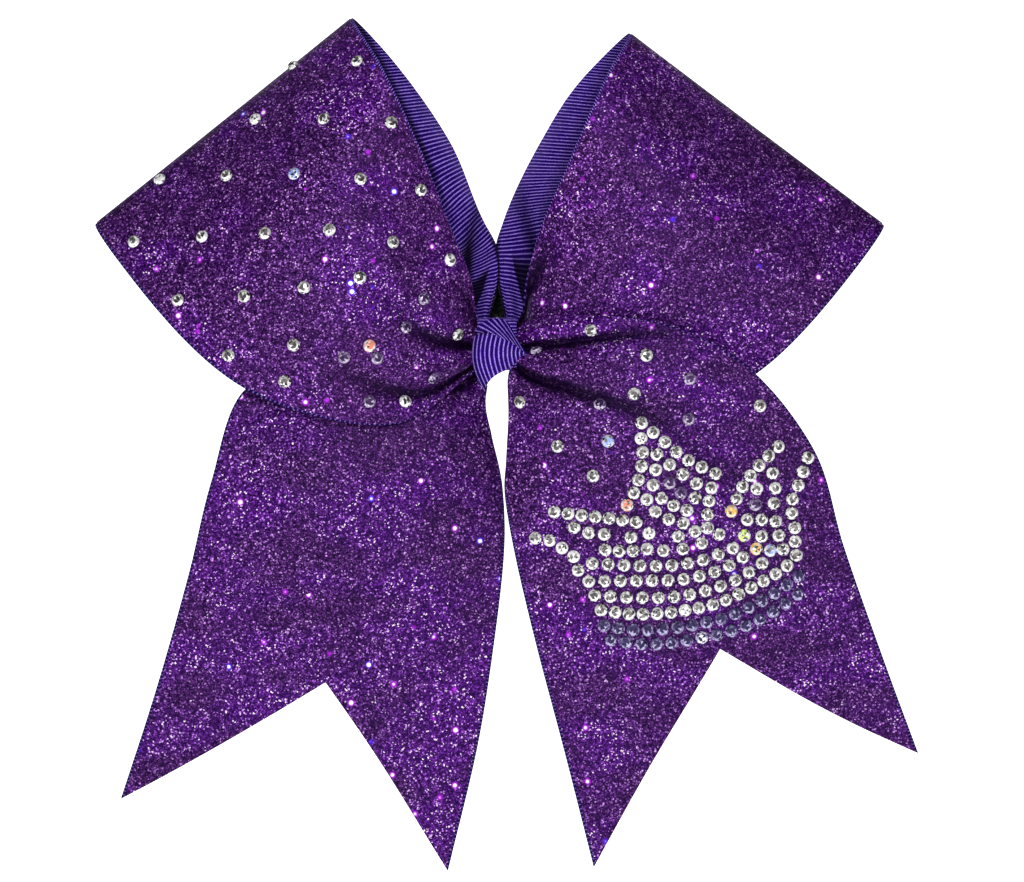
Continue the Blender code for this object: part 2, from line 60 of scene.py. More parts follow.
# Ribbon: the real laminated cloth, in millimetres either side of the CAD panels' middle surface.
RIBBON_WIDTH = 76.2
FACE_LAYER = (0.02, 0.22)
BACKING_LAYER = (-0.42, -0.02)
RIB_PITCH = 0.9
# The glitter stops this share of the width short of each edge.
SELVEDGE = 0.008
# How deep ribs and stitches look, in metres.
BUMP_DEPTH = 0.0003

# Glitter, in millimetres: the flakes, the small painted sparks among them, and the few painted glints, each
# in a painted halo. These are painted highlights in the base colour.
FLAKES_PER_MM = 3.3
SPARK_PITCH, SPARK_RADIUS = 1.9, 0.28
GLINT_PITCH, GLINT_RADIUS, HALO_RADIUS = 5.0, 0.65, 1.05

# Rails of the four panels: (share of the way, x, y, z) in millimetres. They follow the CAD's. Near the knot
# they run on under it (a share below 0), and the loops' stand up behind it as two pleated columns (a share
# near 1).
LEFT_LOOP_UPPER = (
    (-0.05, -3.6, -6.3, 4.4), (0.00, -4.9, -5.6, 8.6), (0.06, -6.2, -7.4, 17.0),
    (0.13, -9.8, -9.0, 26.0), (0.28, -17.8, -13.0, 46.7), (0.42, -27.4, -11.0, 67.0),
    (0.50, -34.0, 2.0, 78.0), (0.57, -26.9, 6.5, 71.0), (0.72, -11.3, 8.0, 49.5),
    (0.86, -2.9, 7.0, 30.0), (0.895, -0.1, 6.2, 24.6), (0.925, 0.5, 5.4, 20.0), (0.955, 0.3, 5.0, 15.5),
    (0.98, -0.9, 4.6, 11.0), (1.00, -1.9, 4.2, 7.4),
)
LEFT_LOOP_LOWER = (
    (-0.05, -3.9, -6.3, -3.6), (0.00, -6.6, -5.4, -6.0), (0.10, -21.0, -12.0, -16.6),
    (0.22, -43.0, -17.0, -15.2), (0.32, -62.0, -16.0, -7.0), (0.43, -82.0, -9.0, 12.5),
    (0.50, -94.3, 2.0, 29.3), (0.57, -84.0, 8.0, 24.0), (0.72, -58.0, 9.0, 9.5),
    (0.87, -28.0, 7.0, 2.0), (1.00, -5.2, 3.8, 0.0),
)
RIGHT_LOOP_UPPER = (
    (-0.05, 4.4, -2.0, 4.9), (0.00, 6.3, -1.8, 9.4), (0.06, 7.1, -4.4, 17.2), (0.13, 9.4, -6.5, 26.0),
    (0.28, 17.0, -12.0, 44.3), (0.42, 25.6, -10.0, 64.0), (0.50, 31.0, 2.0, 74.4),
    (0.57, 22.4, 6.5, 66.5), (0.72, 11.0, 8.0, 50.5), (0.86, 1.3, 8.0, 30.0), (0.895, -0.3, 8.2, 24.6),
    (0.925, 0.1, 7.8, 20.0), (0.955, 0.3, 6.8, 15.5), (0.98, 1.2, 5.2, 11.0), (1.00, 2.0, 4.2, 7.4),
)
RIGHT_LOOP_LOWER = (
    (-0.05, 4.9, -2.0, -3.6), (0.00, 7.6, -1.8, -4.0), (0.10, 21.0, -4.5, -13.5),
    (0.22, 42.0, -6.5, -13.0), (0.32, 60.0, -7.5, -6.0), (0.43, 79.5, -7.0, 13.5),
    (0.50, 90.8, 2.0, 29.1), (0.57, 81.5, 8.0, 24.0), (0.72, 57.0, 9.0, 9.5), (0.87, 28.0, 7.0, 2.0),
    (1.00, 5.4, 3.8, 0.0),
)
LEFT_TAIL_OUTER = (
    (-0.05, -4.9, -0.8, -2.0), (0.00, -7.2, -1.0, -5.0), (0.20, -31.0, -4.5, -5.2),
    (0.40, -59.0, -7.0, -9.4), (0.55, -66.8, -8.0, -31.0), (0.70, -72.2, -7.0, -53.0),
    (0.85, -79.6, -5.5, -79.0), (1.00, -88.0, -4.0, -105.0),
)
LEFT_TAIL_INNER = (
    (-0.05, -2.2, -1.0, -8.4), (0.00, -2.6, -1.0, -11.2), (0.20, -1.2, -3.0, -20.0),
    (0.40, 1.4, -4.0, -33.0), (0.55, 1.7, -4.5, -47.0), (0.70, -0.6, -4.5, -68.0),
    (0.85, -4.6, -4.0, -93.0), (1.00, -11.5, -3.0, -122.0),
)
RIGHT_TAIL_OUTER = (
    (-0.05, 4.7, -6.2, 4.9), (0.00, 7.4, -6.8, 6.6), (0.06, 13.4, -10.4, 8.0), (0.12, 22.0, -14.5, 8.0),
    (0.26, 41.0, -17.5, 5.2), (0.42, 60.8, -14.0, -6.2), (0.55, 74.0, -11.0, -23.5),
    (0.70, 81.0, -9.0, -46.0), (0.85, 90.2, -7.0, -72.0), (1.00, 98.5, -5.0, -94.3),
)
RIGHT_TAIL_INNER = (
    (-0.05, 3.6, -9.5, -3.6), (0.00, 2.8, -9.5, -7.0), (0.12, 2.6, -7.6, -16.0),
    (0.26, 2.1, -8.0, -25.5), (0.42, 1.9, -8.5, -35.0), (0.55, 4.4, -8.5, -49.0),
    (0.70, 9.4, -8.0, -70.0), (0.85, 15.5, -7.0, -93.0), (1.00, 22.6, -5.0, -121.0),
)
NECK_START = -0.05
RIPPLE_WAVES = 7
# FOLD_DARK_DEPTH: the fold depth in millimetres that gives full painted shade. TAIL_SHADE: painted shade over
# all of each tail.
FOLD_DARK_DEPTH = 1.3
LOOP_BELLY = 5.0
TAIL_BELLY = 5.0
TAIL_SHADE = 0.16
LEFT_NOTCH = (0.50, 0.197)
RIGHT_NOTCH = (0.46, 0.221)

# Folds: (across at the neck, across at the reach, reach as a share of the way, width, height outwards).
LEFT_LOOP_FOLDS = (
    (0.54, 0.50, 0.13, 1.7, -3.0), (0.73, 0.70, 0.17, 2.6, 1.4), (0.89, 0.80, 0.17, 1.9, -2.6),
    (0.30, 0.30, 0.14, 3.2, 1.4), (0.12, 0.16, 0.08, 1.6, -1.2),
)
LEFT_LOOP_BACK_FOLDS = ((0.30, 0.03, 0.10, 1.7, -1.8), (0.90, 0.24, 0.12, 2.2, 4.5))
RIGHT_LOOP_FOLDS = ((0.08, 0.10, 0.13, 2.4, -2.6), (0.38, 0.32, 0.12, 2.0, 1.6), (0.62, 0.60, 0.12, 2.5, 0.9))
RIGHT_LOOP_BACK_FOLDS = ((0.35, 0.05, 0.10, 2.2, -1.8), (0.95, 0.32, 0.13, 2.6, 4.5))
LEFT_TAIL_FOLDS = ((0.30, 0.35, 0.16, 2.6, -1.5), (0.62, 0.60, 0.16, 2.4, 1.2))
RIGHT_TAIL_FOLDS = (
    (0.47, 0.10, 0.22, 2.0, -3.0), (0.20, 0.02, 0.16, 2.4, 1.6), (0.60, 0.33, 0.26, 2.4, 1.3),
    (0.72, 0.43, 0.36, 1.9, -2.8),
)

# Slopes of the ribs on the loops' back halves, rising to the right, by height: (z, slope).
LEFT_RIB_SLOPES = ((7.0, 0.10), (16.0, 0.35), (24.0, 0.62), (34.0, 0.62), (52.0, 0.12), (75.0, 0.05))
RIGHT_RIB_SLOPES = ((7.0, -0.35), (16.0, -0.25), (24.0, 0.10), (31.0, 0.22), (45.0, -0.05), (75.0, -0.12))

# The pockets beside the columns, painted dark as shadow, and the front halves' upper edges, behind which lies
# a strip of painted shadow: (z, x).
LEFT_POCKET_EDGE = ((7.0, -4.8), (10.5, -4.4), (13.8, -2.8), (18.6, -1.5), (22.0, -1.0))
RIGHT_POCKET_EDGE = ((6.2, 4.9), (10.5, 5.7), (13.8, 4.8), (17.4, 3.9), (22.0, 3.1))
LEFT_FRONT_EDGE = ((26.0, -9.8), (46.7, -17.8), (67.0, -27.4), (78.0, -34.0))
RIGHT_FRONT_EDGE = ((26.0, 9.4), (44.3, 17.0), (64.0, 25.6), (74.4, 31.0))

# Two points on a line across the left loop and the right tail, between the gathered middle and each one's
# body, in metres.
LEFT_LOOP_NECK = ((-0.0050, 0, 0), (-0.0120, 0, 0))
RIGHT_TAIL_NECK = ((0.0060, 0, -0.0005), (0.0110, 0, -0.0080))
LOOP_GRID = (300, 110)
TAIL_GRID = (180, 120)
LEFT_LOOP_SEED, RIGHT_LOOP_SEED, LEFT_TAIL_SEED, RIGHT_TAIL_SEED = 3, 11, 21, 33

# The knot's two folds. Each is a cushion between a top and a bottom rail in (x, z), with ribs from one to
# the other. "bow" bends the ribs to the left, "rise" lifts the cushion, "dome" is the start and span of the
# part of an arch that its section follows, and "top_shade" is painted shade on its top.
LOWER_FOLD = {
    "top": ((-5.4, 3.2), (-3.0, 4.0), (0.0, 3.8), (3.4, 1.9), (6.9, -0.9)),
    "bottom": ((-2.9, -9.9), (-2.2, -8.0), (-1.5, -7.0), (0.5, -5.5), (2.0, -4.8), (4.5, -3.0), (6.9, -0.9)),
    "ribs": 13, "bow": 1.5, "rise": 4.6, "dome": (0.30, 0.67), "top_shade": 0.6,
}
UPPER_FOLD = {
    "top": ((-5.2, 4.2), (-4.2, 5.7), (-2.4, 6.8), (0.0, 7.3), (1.8, 7.0), (2.4, 6.6)),
    "bottom": ((-1.0, 2.9), (1.5, 2.4), (3.6, 1.4), (5.4, 0.2), (6.9, -0.9)),
    "ribs": 7, "bow": -0.4, "rise": 4.9, "dome": (0.06, 0.50), "top_shade": 0.0,
}
FOLD_FRONT, FOLD_BACK = -8.4, -8.2
FOLD_RIB_DEPTH = 0.10
STRAP_HALF_WIDTH = 4.6
STRAP_FRONT, STRAP_BACK, STRAP_TOP, STRAP_CORNER = -9.2, 11.2, 7.5, 2.4
STRAP_THICK, STRAP_BEVEL = 0.9, 0.25
# The strap's lower edge climbs to the right under the knot: (x, z).
STRAP_BOTTOM = ((-4.6, -7.4), (-2.8, -7.4), (-1.4, -6.4), (0.2, -5.2), (1.8, -4.7), (4.6, -4.6))
PINCH_HALF_LENGTH = 4.6
PINCH_FRONT, PINCH_BACK, PINCH_HALF_HEIGHT = -6.6, 4.0, 4.0
THREAD_HALF_WIDTH = 1.8
THREAD_SECTIONS = 24
ELASTIC_RADIUS = 2.2
ELASTIC_SECTIONS, ELASTIC_SIDES = 320, 24
ELASTIC_HALF_PATH = (
    (5.4, 7.5, 0.0), (7.6, 8.8, 0.6), (8.0, 11.0, 3.0), (7.2, 12.8, 5.4), (4.6, 14.0, 7.0),
    (2.3, 14.6, 8.6), (2.0, 15.3, 12.0), (2.2, 16.6, 17.0), (3.2, 20.0, 20.4), (7.0, 26.0, 21.5),
    (14.0, 33.0, 19.0), (18.0, 41.0, 15.5), (15.0, 49.0, 12.5), (7.5, 53.5, 11.0),
)

# Stones, at the CAD's places. A row of the crown is its number of stones and the points of their curve.
STONE_RADIUS = 1.5
# A stone's tiers from its base to its table: (share of the radius, height, corners), and its table's tip.
STONE_TIERS = ((0.96, 0.0, 16), (1.0, 0.28, 16), (0.80, 0.72, 8), (0.56, 0.95, 8))
TABLE_TIP = 0.99
FACETS = 65
TABLE_FACETS, SIDE_FACETS, CROWN_FACETS = slice(1, 9), slice(9, 25), slice(25, FACETS)
LOOP_STONES_SEED, TAIL_STONES_SEED, CROWN_CLEAR_SEED, CROWN_VIOLET_SEED = 5, 6, 7, 8
LOOP_SPOTS = (
    (-47.8, 66.6), (-32.6, 67.3), (-56.5, 53.9), (-40.3, 53.7), (-24.6, 52.8), (-79.0, 39.9),
    (-63.1, 40.6), (-47.1, 40.8), (-31.7, 39.6), (-17.8, 37.1), (-84.9, 25.3), (-68.7, 26.3),
    (-53.9, 27.0), (-38.9, 27.7), (-24.2, 24.9), (-11.0, 20.9), (-74.3, 11.5), (-58.7, 12.4),
    (-44.8, 14.3), (-31.8, 16.6), (-17.0, 11.8), (-62.4, -1.4), (-47.2, 1.0), (-35.5, -1.8),
    (-29.6, 0.8), (-27.8, -2.0), (-21.2, 5.1), (-9.2, 3.6), (-49.3, -7.4), (-29.7, -12.1),
    (-21.4, -12.1), (-14.8, -6.5),
)
TAIL_SPOTS = (
    (21.9, 4.5), (34.7, -1.4), (44.8, -6.8), (31.9, -10.3), (9.2, -0.4), (23.9, -12.8), (44.6, -16.2),
    (61.2, -13.1), (5.4, -12.2), (14.1, -22.5), (25.8, -21.3), (22.4, -29.4),
)
CROWN_CLEAR_ROWS = (
    (16, (24.3, -60.7), (31.1, -61.6), (37.8, -61.5), (44.6, -60.6), (50.9, -59.3), (56.9, -56.7),
     (62.3, -53.8), (67.6, -50.4), (69.8, -47.9)),
    (12, (22.8, -57.3), (32.4, -57.8), (43.5, -57.3), (49.9, -55.8), (56.6, -53.2), (61.8, -49.8)),
    (12, (21.4, -54.0), (27.6, -53.9), (34.9, -53.8), (42.7, -53.6), (49.9, -52.0), (53.8, -50.4),
     (60.4, -46.4)),
    (10, (22.2, -49.8), (32.1, -50.3), (41.0, -50.2), (48.3, -48.9), (54.9, -46.2)),
    (4, (25.2, -46.6), (29.5, -47.0), (35.0, -46.4)),
    (4, (38.8, -46.8), (42.2, -46.6), (47.3, -45.2), (51.7, -43.0)),
    (2, (31.2, -43.7), (35.4, -42.8)),
    (2, (42.2, -43.5), (46.1, -42.3)),
    (4, (57.6, -43.3), (62.0, -43.5), (65.7, -43.3), (69.5, -44.7)),
    (2, (63.7, -46.8), (66.7, -46.5)),
    (3, (58.3, -39.6), (61.4, -39.6), (64.9, -40.0)),
    (5, (9.0, -43.9), (12.2, -44.4), (15.3, -46.3), (18.0, -48.4), (18.9, -51.4)),
    (7, (13.4, -37.8), (19.8, -38.6), (26.3, -39.3), (32.4, -40.2)),
    (3, (18.0, -41.4), (21.5, -42.7), (25.0, -43.0)),
    (7, (33.6, -17.1), (38.4, -21.0), (43.2, -25.0), (50.8, -28.9)),
    (6, (33.5, -20.7), (33.9, -24.0), (33.2, -29.2), (32.0, -33.0), (30.3, -36.2)),
    (4, (37.2, -24.4), (40.1, -26.8), (43.2, -29.0), (46.4, -31.2)),
    (6, (36.9, -28.0), (36.2, -32.0), (34.9, -35.3), (37.2, -38.0), (40.2, -39.6), (43.4, -40.4)),
    (3, (38.3, -34.6), (41.0, -36.2), (44.2, -37.4)),
    (1, (46.1, -34.5)),
    (4, (49.9, -32.2), (49.3, -35.4), (49.0, -38.4), (49.0, -41.5)),
    (7, (65.5, -22.6), (61.0, -27.0), (57.2, -31.8), (54.5, -37.6)),
    (3, (64.2, -28.8), (64.8, -32.2), (64.5, -35.8)),
    (1, (60.5, -32.4)),
    (6, (72.4, -25.2), (70.3, -31.3), (68.6, -36.0), (69.4, -41.5)),
)
CROWN_JEWELS = ((40.2, -31.0), (42.8, -33.4), (60.2, -36.1))
CROWN_BAND_ROWS = (
    (15, (24.9, -64.3), (31.5, -65.3), (38.2, -65.2), (45.6, -64.2), (52.4, -62.7), (58.6, -60.2),
     (64.4, -57.0), (70.4, -52.8)),
    (14, (26.6, -67.7), (33.5, -68.6), (40.5, -68.4), (47.0, -67.3), (53.9, -65.8), (60.2, -63.4),
     (66.0, -60.1), (70.2, -57.0)),
)

# Stones whose facets take the dark palette: those sunk in its folds, where it is painted shade and painted
# reflections of the cloth, and the dark jewels of the crown.
DARK_SPOTS = (
    (-21.2, 5.1), (-14.8, -6.5), (-29.7, -12.1), (-35.5, -1.8), (-17.0, 11.8), (-27.8, -2.0),
    (9.2, -0.4), (44.6, -16.2), (44.8, -6.8), (23.9, -12.8), *CROWN_JEWELS,
)
FLASH_COLOURS = {
    "red": (255, 150, 120), "amber": (255, 200, 90), "lime": (225, 255, 100), "blue": (150, 175, 255),
    "white": (255, 255, 255),
}
# Stones with painted flashes of coloured light: (x, z, colour).
FLASHES = (
    (30.3, -36.2, "red"), (54.5, -37.6, "amber"), (32.1, -50.3, "amber"), (35.4, -42.8, "white"),
    (57.6, -43.3, "lime"), (60.4, -46.4, "amber"), (63.7, -46.8, "blue"), (18.0, -48.4, "white"),
    (15.3, -46.3, "white"), (60.5, -32.4, "white"), (47.0, -67.3, "white"), (33.5, -20.7, "white"),
    (44.6, -60.6, "white"), (-56.5, 53.9, "white"), (-79.0, 39.9, "white"), (-47.1, 40.8, "blue"),
    (-68.7, 26.3, "white"), (-29.6, 0.8, "red"), (-21.4, -12.1, "white"), (25.8, -21.3, "blue"),
    (-11.0, 20.9, "white"),
)
FLASH_REACH = 1.2
# Palettes of the facets' painted reflections, from dark to bright, at these shares of the brightness.
SHADE_STEPS = (0.0, 0.15, 0.4, 0.7, 1.0)
CLEAR_SHADES = ((22, 20, 24), (66, 62, 64), (140, 136, 134), (222, 222, 220), (255, 255, 255))
SINGLE_SHADES = ((20, 18, 22), (54, 50, 52), (110, 106, 106), (188, 188, 186), (250, 250, 250))
VIOLET_SHADES = ((20, 12, 40), (38, 28, 64), (56, 46, 88), (86, 76, 122), (190, 184, 220))
DARK_SHADES = ((20, 10, 32), (40, 24, 58), (70, 48, 94), (116, 96, 138), (200, 188, 210))

# The white cove, in metres: its floor curves up into a wall.
COVE_HALF_WIDTH, COVE_FRONT, COVE_BACK = 4.0, -3.2, 2.2
COVE_FLOOR, COVE_RADIUS, COVE_TOP = -0.22, 0.8, 3.4
# Lamps: (name, place, target, size, watts).
LAMPS = (
    ("key", (-0.10, -1.5, 0.30), (0, 0, -0.02), (0.35, 0.30), 11),
    ("top", (0.0, -0.3, 1.1), (0, 0, 0), (0.8, 0.5), 3),
)
WORLD_STRENGTH = 0.15
CAMERA_PLACE = (0.0035, -2.0, -0.0213)
CAMERA_LENS, CAMERA_SENSOR, CAMERA_REACH = 300.0, 36.0, 10.0


# ---------------- node materials


class Nodes:
    """A short way to write a material's node tree."""

    def __init__(self, name):
        self.material = bpy.data.materials.new(name)
        self.material.use_nodes = True
        self.tree = self.material.node_tree
        self.shader = self.tree.nodes["Principled BSDF"]

    def add(self, kind, **settings):
        node = self.tree.nodes.new(kind)
        for key, value in settings.items():
            setattr(node, key, value)
        return node

    def put(self, target, value):
        """Links a socket, or sets a plain value."""
        if isinstance(value, bpy.types.NodeSocket):
            self.tree.links.new(value, target)
        else:
            target.default_value = value

    def math(self, operation, a, b=0.0, clamp=False):
        node = self.add("ShaderNodeMath", operation=operation, use_clamp=clamp)
        self.put(node.inputs[0], a)
        self.put(node.inputs[1], b)
        return node.outputs[0]

    def times(self, a, b):
        return self.math("MULTIPLY", a, b)

    def line(self, value, slope, start):
        """slope times the value, plus start."""
        return self.math("ADD", self.times(value, slope), start)

    def vector(self, operation, a, b):
        node = self.add("ShaderNodeVectorMath", operation=operation)
        self.put(node.inputs[0], a)
        self.put(node.inputs["Scale" if operation == "SCALE" else 1], b)
        return node.outputs[0]

    def span(self, value, low, high):
        """0 where the value is below low, 1 above high, and smooth between."""
        node = self.add("ShaderNodeMapRange", interpolation_type="SMOOTHSTEP")
        self.put(node.inputs["Value"], value)
        self.put(node.inputs["From Min"], low)
        self.put(node.inputs["From Max"], high)
        return node.outputs["Result"]

    def attribute(self, name, output="Fac"):
        return self.add("ShaderNodeAttribute", attribute_name=name).outputs[output]

    def ramp(self, value, stops):
        node = self.add("ShaderNodeValToRGB")
        elements = node.color_ramp.elements
        while len(elements) < len(stops):
            elements.new(0.5)
        for element, (place, colour) in zip(elements, stops, strict=True):
            element.position = place
            element.color = (*colour, 1.0)
        self.put(node.inputs["Fac"], value)
        return node.outputs["Color"]

    def noise(self, vector, scale, detail=3.0):
        node = self.add("ShaderNodeTexNoise")
        self.put(node.inputs["Vector"], vector)
        self.put(node.inputs["Scale"], scale)
        self.put(node.inputs["Detail"], detail)
        return node.outputs["Fac"]

    def cells(self, vector, scale):
        """(random colour, distance from the middle) of each cell of a scattered pattern."""
        node = self.add("ShaderNodeTexVoronoi")
        self.put(node.inputs["Vector"], vector)
        self.put(node.inputs["Scale"], scale)
        return node.outputs["Color"], node.outputs["Distance"]

    def channels(self, colour):
        node = self.add("ShaderNodeSeparateColor")
        self.put(node.inputs[0], colour)
        return node.outputs[0], node.outputs[1], node.outputs[2]

    def mix(self, share, a, b):
        node = self.add("ShaderNodeMix", data_type="RGBA")
        for key, kind, value in (("Factor", "VALUE", share), ("A", "RGBA", a), ("B", "RGBA", b)):
            socket = next(i for i in node.inputs if i.name == key and i.type == kind)
            self.put(socket, (*value, 1.0) if isinstance(value, tuple) else value)
        return next(o for o in node.outputs if o.type == "RGBA")

    def bump(self, height, strength, distance):
        node = self.add("ShaderNodeBump")
        self.put(node.inputs["Height"], height)
        self.put(node.inputs["Strength"], strength)
        self.put(node.inputs["Distance"], distance)
        return node.outputs["Normal"]

    def tilt(self, colour, amount):
        """The surface's normal, tilted a random way by each cell's random colour."""
        normal = self.add("ShaderNodeNewGeometry").outputs["Normal"]
        lean = self.vector("SCALE", self.vector("SUBTRACT", colour, (0.5, 0.5, 0.5)), amount)
        return self.vector("NORMALIZE", self.vector("ADD", normal, lean), (0.0, 0.0, 0.0))

    def set(self, **values):
        for key, value in values.items():
            self.put(self.shader.inputs[key.replace("_", " ")], value)
        return self.material


def srgb(r, g, b):
    """A colour given in the usual 0 to 255, as linear light."""
    out = []
    for c in (r, g, b):
        c /= 255
        out.append(c / 12.92 if c <= 0.04045 else ((c + 0.055) / 1.055) ** 2.4)
    return tuple(out)


def dots(n, place, pitch, radius, share):
    """1 inside round dots, one in each of a share of the cells, and a random value for each cell."""
    colour, distance = n.cells(place, 1 / pitch)
    red, green, _ = n.channels(colour)
    inside = n.math("SUBTRACT", 1.0, n.span(distance, 0.6 * radius / pitch, radius / pitch))
    chosen = n.math("LESS_THAN", red, share)
    return n.times(inside, chosen), green


def glitter_material():
    """Flakes on deep purple, each with its own brightness and tilt, with painted glints, sparks and halos in
    drifts, painted light from glow and painted shade.
    """
    n = Nodes("purple_glitter")
    place = n.attribute("cloth_mm", "Vector")
    flakes, _ = n.cells(place, FLAKES_PER_MM)
    red, _, blue = n.channels(flakes)
    # Painted light: the glow attribute lifts the drifts, where the painted glints gather.
    glow = n.times(n.attribute("glow"), 0.06)
    streaks = n.vector("MULTIPLY", place, (0.7, 1.0, 1.3))
    drift = n.span(n.math("ADD", n.noise(streaks, 0.075, 4.0), glow), 0.41, 0.67)
    clump = n.times(n.math("SUBTRACT", n.noise(place, 0.45, 3.0), 0.5), 0.30)
    reach = n.line(drift, 0.08, 0.93)
    level = n.math("ADD", n.times(red, reach), clump, clamp=True)
    # Flake tones: the random spread is the glitter's own, and the brightest flakes at the top of each ramp
    # are painted sparkle.
    dull = n.ramp(level, (
        (0.00, srgb(18, 0, 39)), (0.25, srgb(35, 8, 57)), (0.50, srgb(53, 18, 76)), (0.72, srgb(78, 34, 104)),
        (0.86, srgb(120, 66, 150)), (0.94, srgb(192, 136, 222)), (1.00, srgb(250, 226, 255)),
    ))
    vivid = n.ramp(level, (
        (0.00, srgb(20, 0, 48)), (0.25, srgb(42, 5, 76)), (0.50, srgb(60, 12, 97)), (0.75, srgb(86, 26, 128)),
        (0.90, srgb(124, 44, 174)), (0.96, srgb(196, 118, 240)), (1.00, srgb(255, 232, 255)),
    ))
    cloth = n.mix(n.times(drift, 0.9), dull, vivid)
    lit = n.line(drift, 0.50, 0.08)
    # Painted highlights: magenta or blue halos round the painted glints.
    halo, tint = dots(n, place, GLINT_PITCH, HALO_RADIUS, lit)
    halo_colour = n.mix(n.math("GREATER_THAN", tint, 0.75), srgb(190, 34, 236), srgb(90, 44, 250))
    cloth = n.mix(n.times(halo, 0.7), cloth, halo_colour)
    # Painted highlights: the glints' white cores and the small sparks.
    core, _ = dots(n, place, GLINT_PITCH, GLINT_RADIUS, lit)
    sparks, _ = dots(n, place, SPARK_PITCH, SPARK_RADIUS, n.line(drift, 0.26, 0.09))
    cloth = n.mix(sparks, cloth, srgb(222, 140, 255))
    cloth = n.mix(core, cloth, srgb(255, 246, 255))
    # Painted shade in folds, creases and pockets, from a mesh attribute.
    cloth = n.mix(n.times(n.attribute("painted_shade"), 0.88), cloth, srgb(14, 2, 30))
    rough = n.line(blue, 0.25, 0.32)
    return n.set(
        Base_Color=cloth, Metallic=0.25, Roughness=rough, Specular_IOR_Level=0.05, Normal=n.tilt(flakes, 0.45)
    )


def grosgrain_material():
    """Ribs across the ribbon: a thin bright line of twisted fibres along each and a dark gap between."""
    n = Nodes("purple_grosgrain")
    wave = n.math("SINE", n.times(n.attribute("along_mm"), 2 * math.pi / RIB_PITCH))
    height = n.line(wave, 0.5, 0.5)
    place = n.attribute("cloth_mm", "Vector")
    fibre = n.math("SUBTRACT", n.noise(place, 4.5, 3.0), 0.5)
    patch = n.math("SUBTRACT", n.noise(place, 0.35, 2.0), 0.5)
    rough_height = n.math("ADD", n.times(fibre, 1.5), n.times(patch, 0.5))
    shade = n.math("ADD", n.math("POWER", height, 2.2), rough_height, clamp=True)
    colour = n.ramp(shade, (
        (0.00, srgb(26, 2, 92)), (0.35, srgb(50, 18, 128)),
        (0.70, srgb(108, 74, 186)), (1.00, srgb(172, 142, 236)),
    ))
    # Painted sheen on the loops' curled edges, then painted shade, both from mesh attributes.
    colour = n.mix(n.times(n.attribute("glow"), 0.12), colour, srgb(112, 100, 146))
    colour = n.mix(n.times(n.attribute("painted_shade"), 0.95), colour, srgb(6, 1, 20))
    normal = n.bump(height, 0.9, BUMP_DEPTH)
    return n.set(Base_Color=colour, Roughness=0.7, Specular_IOR_Level=0.05, Normal=normal)


def elastic_material():
    """Black knitted cord: fine slanting stitches."""
    n = Nodes("black_knitted_elastic")
    turn = n.times(n.attribute("around"), 4 * math.pi)
    slant = n.math("SINE", n.math("ADD", n.times(n.attribute("along_mm"), 6.0), turn))
    fibre = n.noise(n.attribute("cloth_mm", "Vector"), 3.0)
    colour = n.ramp(n.math("ADD", n.times(slant, 0.3), fibre), (
        (0.2, (0.003, 0.004, 0.005)), (0.9, (0.014, 0.019, 0.018)),
    ))
    normal = n.bump(slant, 0.7, BUMP_DEPTH)
    return n.set(Base_Color=colour, Roughness=0.85, Specular_IOR_Level=0.1, Normal=normal)


def thread_material():
    """Black sewing thread."""
    n = Nodes("black_thread")
    twist = n.noise(n.attribute("cloth_mm", "Vector"), 4.0)
    colour = n.ramp(twist, ((0.2, (0.006, 0.006, 0.007)), (0.8, (0.03, 0.03, 0.03))))
    return n.set(Base_Color=colour, Roughness=0.8)


def stone_material(name):
    """Foil-backed facets: each face has its own colour, a painted reflection of another part of the room."""
    n = Nodes(name)
    return n.set(
        Base_Color=n.attribute("facet", "Color"), Metallic=0.2, Roughness=0.15, Specular_IOR_Level=0.15
    )


# ---------------- meshes


def add_object(name, data):
    ob = bpy.data.objects.new(name, data)
    bpy.context.collection.objects.link(ob)
    return ob


def make_mesh(name, points, faces, look, floats=None, smooth=True, face_colours=None):
    """A mesh object from points in millimetres, with the attributes that its material reads."""
    points = np.asarray(points, float).reshape(-1, 3)
    mesh = bpy.data.meshes.new(name)
    mesh.from_pydata((points * MM).tolist(), [], faces)
    cloth = mesh.attributes.new("cloth_mm", "FLOAT_VECTOR", "POINT")
    cloth.data.foreach_set("vector", points.astype(np.float32).ravel())
    for key, values in (floats or {}).items():
        attribute = mesh.attributes.new(key, "FLOAT", "POINT")
        attribute.data.foreach_set("value", np.asarray(values, np.float32).ravel())
    if face_colours is not None:
        facet = mesh.attributes.new("facet", "FLOAT_COLOR", "FACE")
        facet.data.foreach_set("color", np.asarray(face_colours, np.float32).ravel())
    shape = bmesh.new()
    shape.from_mesh(mesh)
    bmesh.ops.recalc_face_normals(shape, faces=shape.faces)
    shape.to_mesh(mesh)
    shape.free()
    mesh.materials.append(look)
    for face in mesh.polygons:
        face.use_smooth = smooth
    return add_object(name, mesh)


def rail_curve(rail, shares):
    """Points of a rail at these shares of its way, on a smooth curve through its points."""
    knots = np.array(rail, float)
    at = knots[:, 0]
    slopes = np.gradient(knots[:, 1:], at, axis=0)
    shares = np.asarray(shares, float)
    i = np.clip(np.searchsorted(at, shares, side="right") - 1, 0, len(at) - 2)
    span = (at[i + 1] - at[i])[..., None]
    t = (shares - at[i])[..., None] / span
    a, b = knots[i, 1:], knots[i + 1, 1:]
    return (
        (2 * t**3 - 3 * t**2 + 1) * a
        + (t**3 - 2 * t**2 + t) * span * slopes[i]
        + (3 * t**2 - 2 * t**3) * b
        + (t**3 - t**2) * span * slopes[i + 1]
    )


def way(points):
    """How far along a line each of its points is."""
    return np.concatenate([[0.0], np.cumsum(np.linalg.norm(np.diff(points, axis=0), axis=1))])


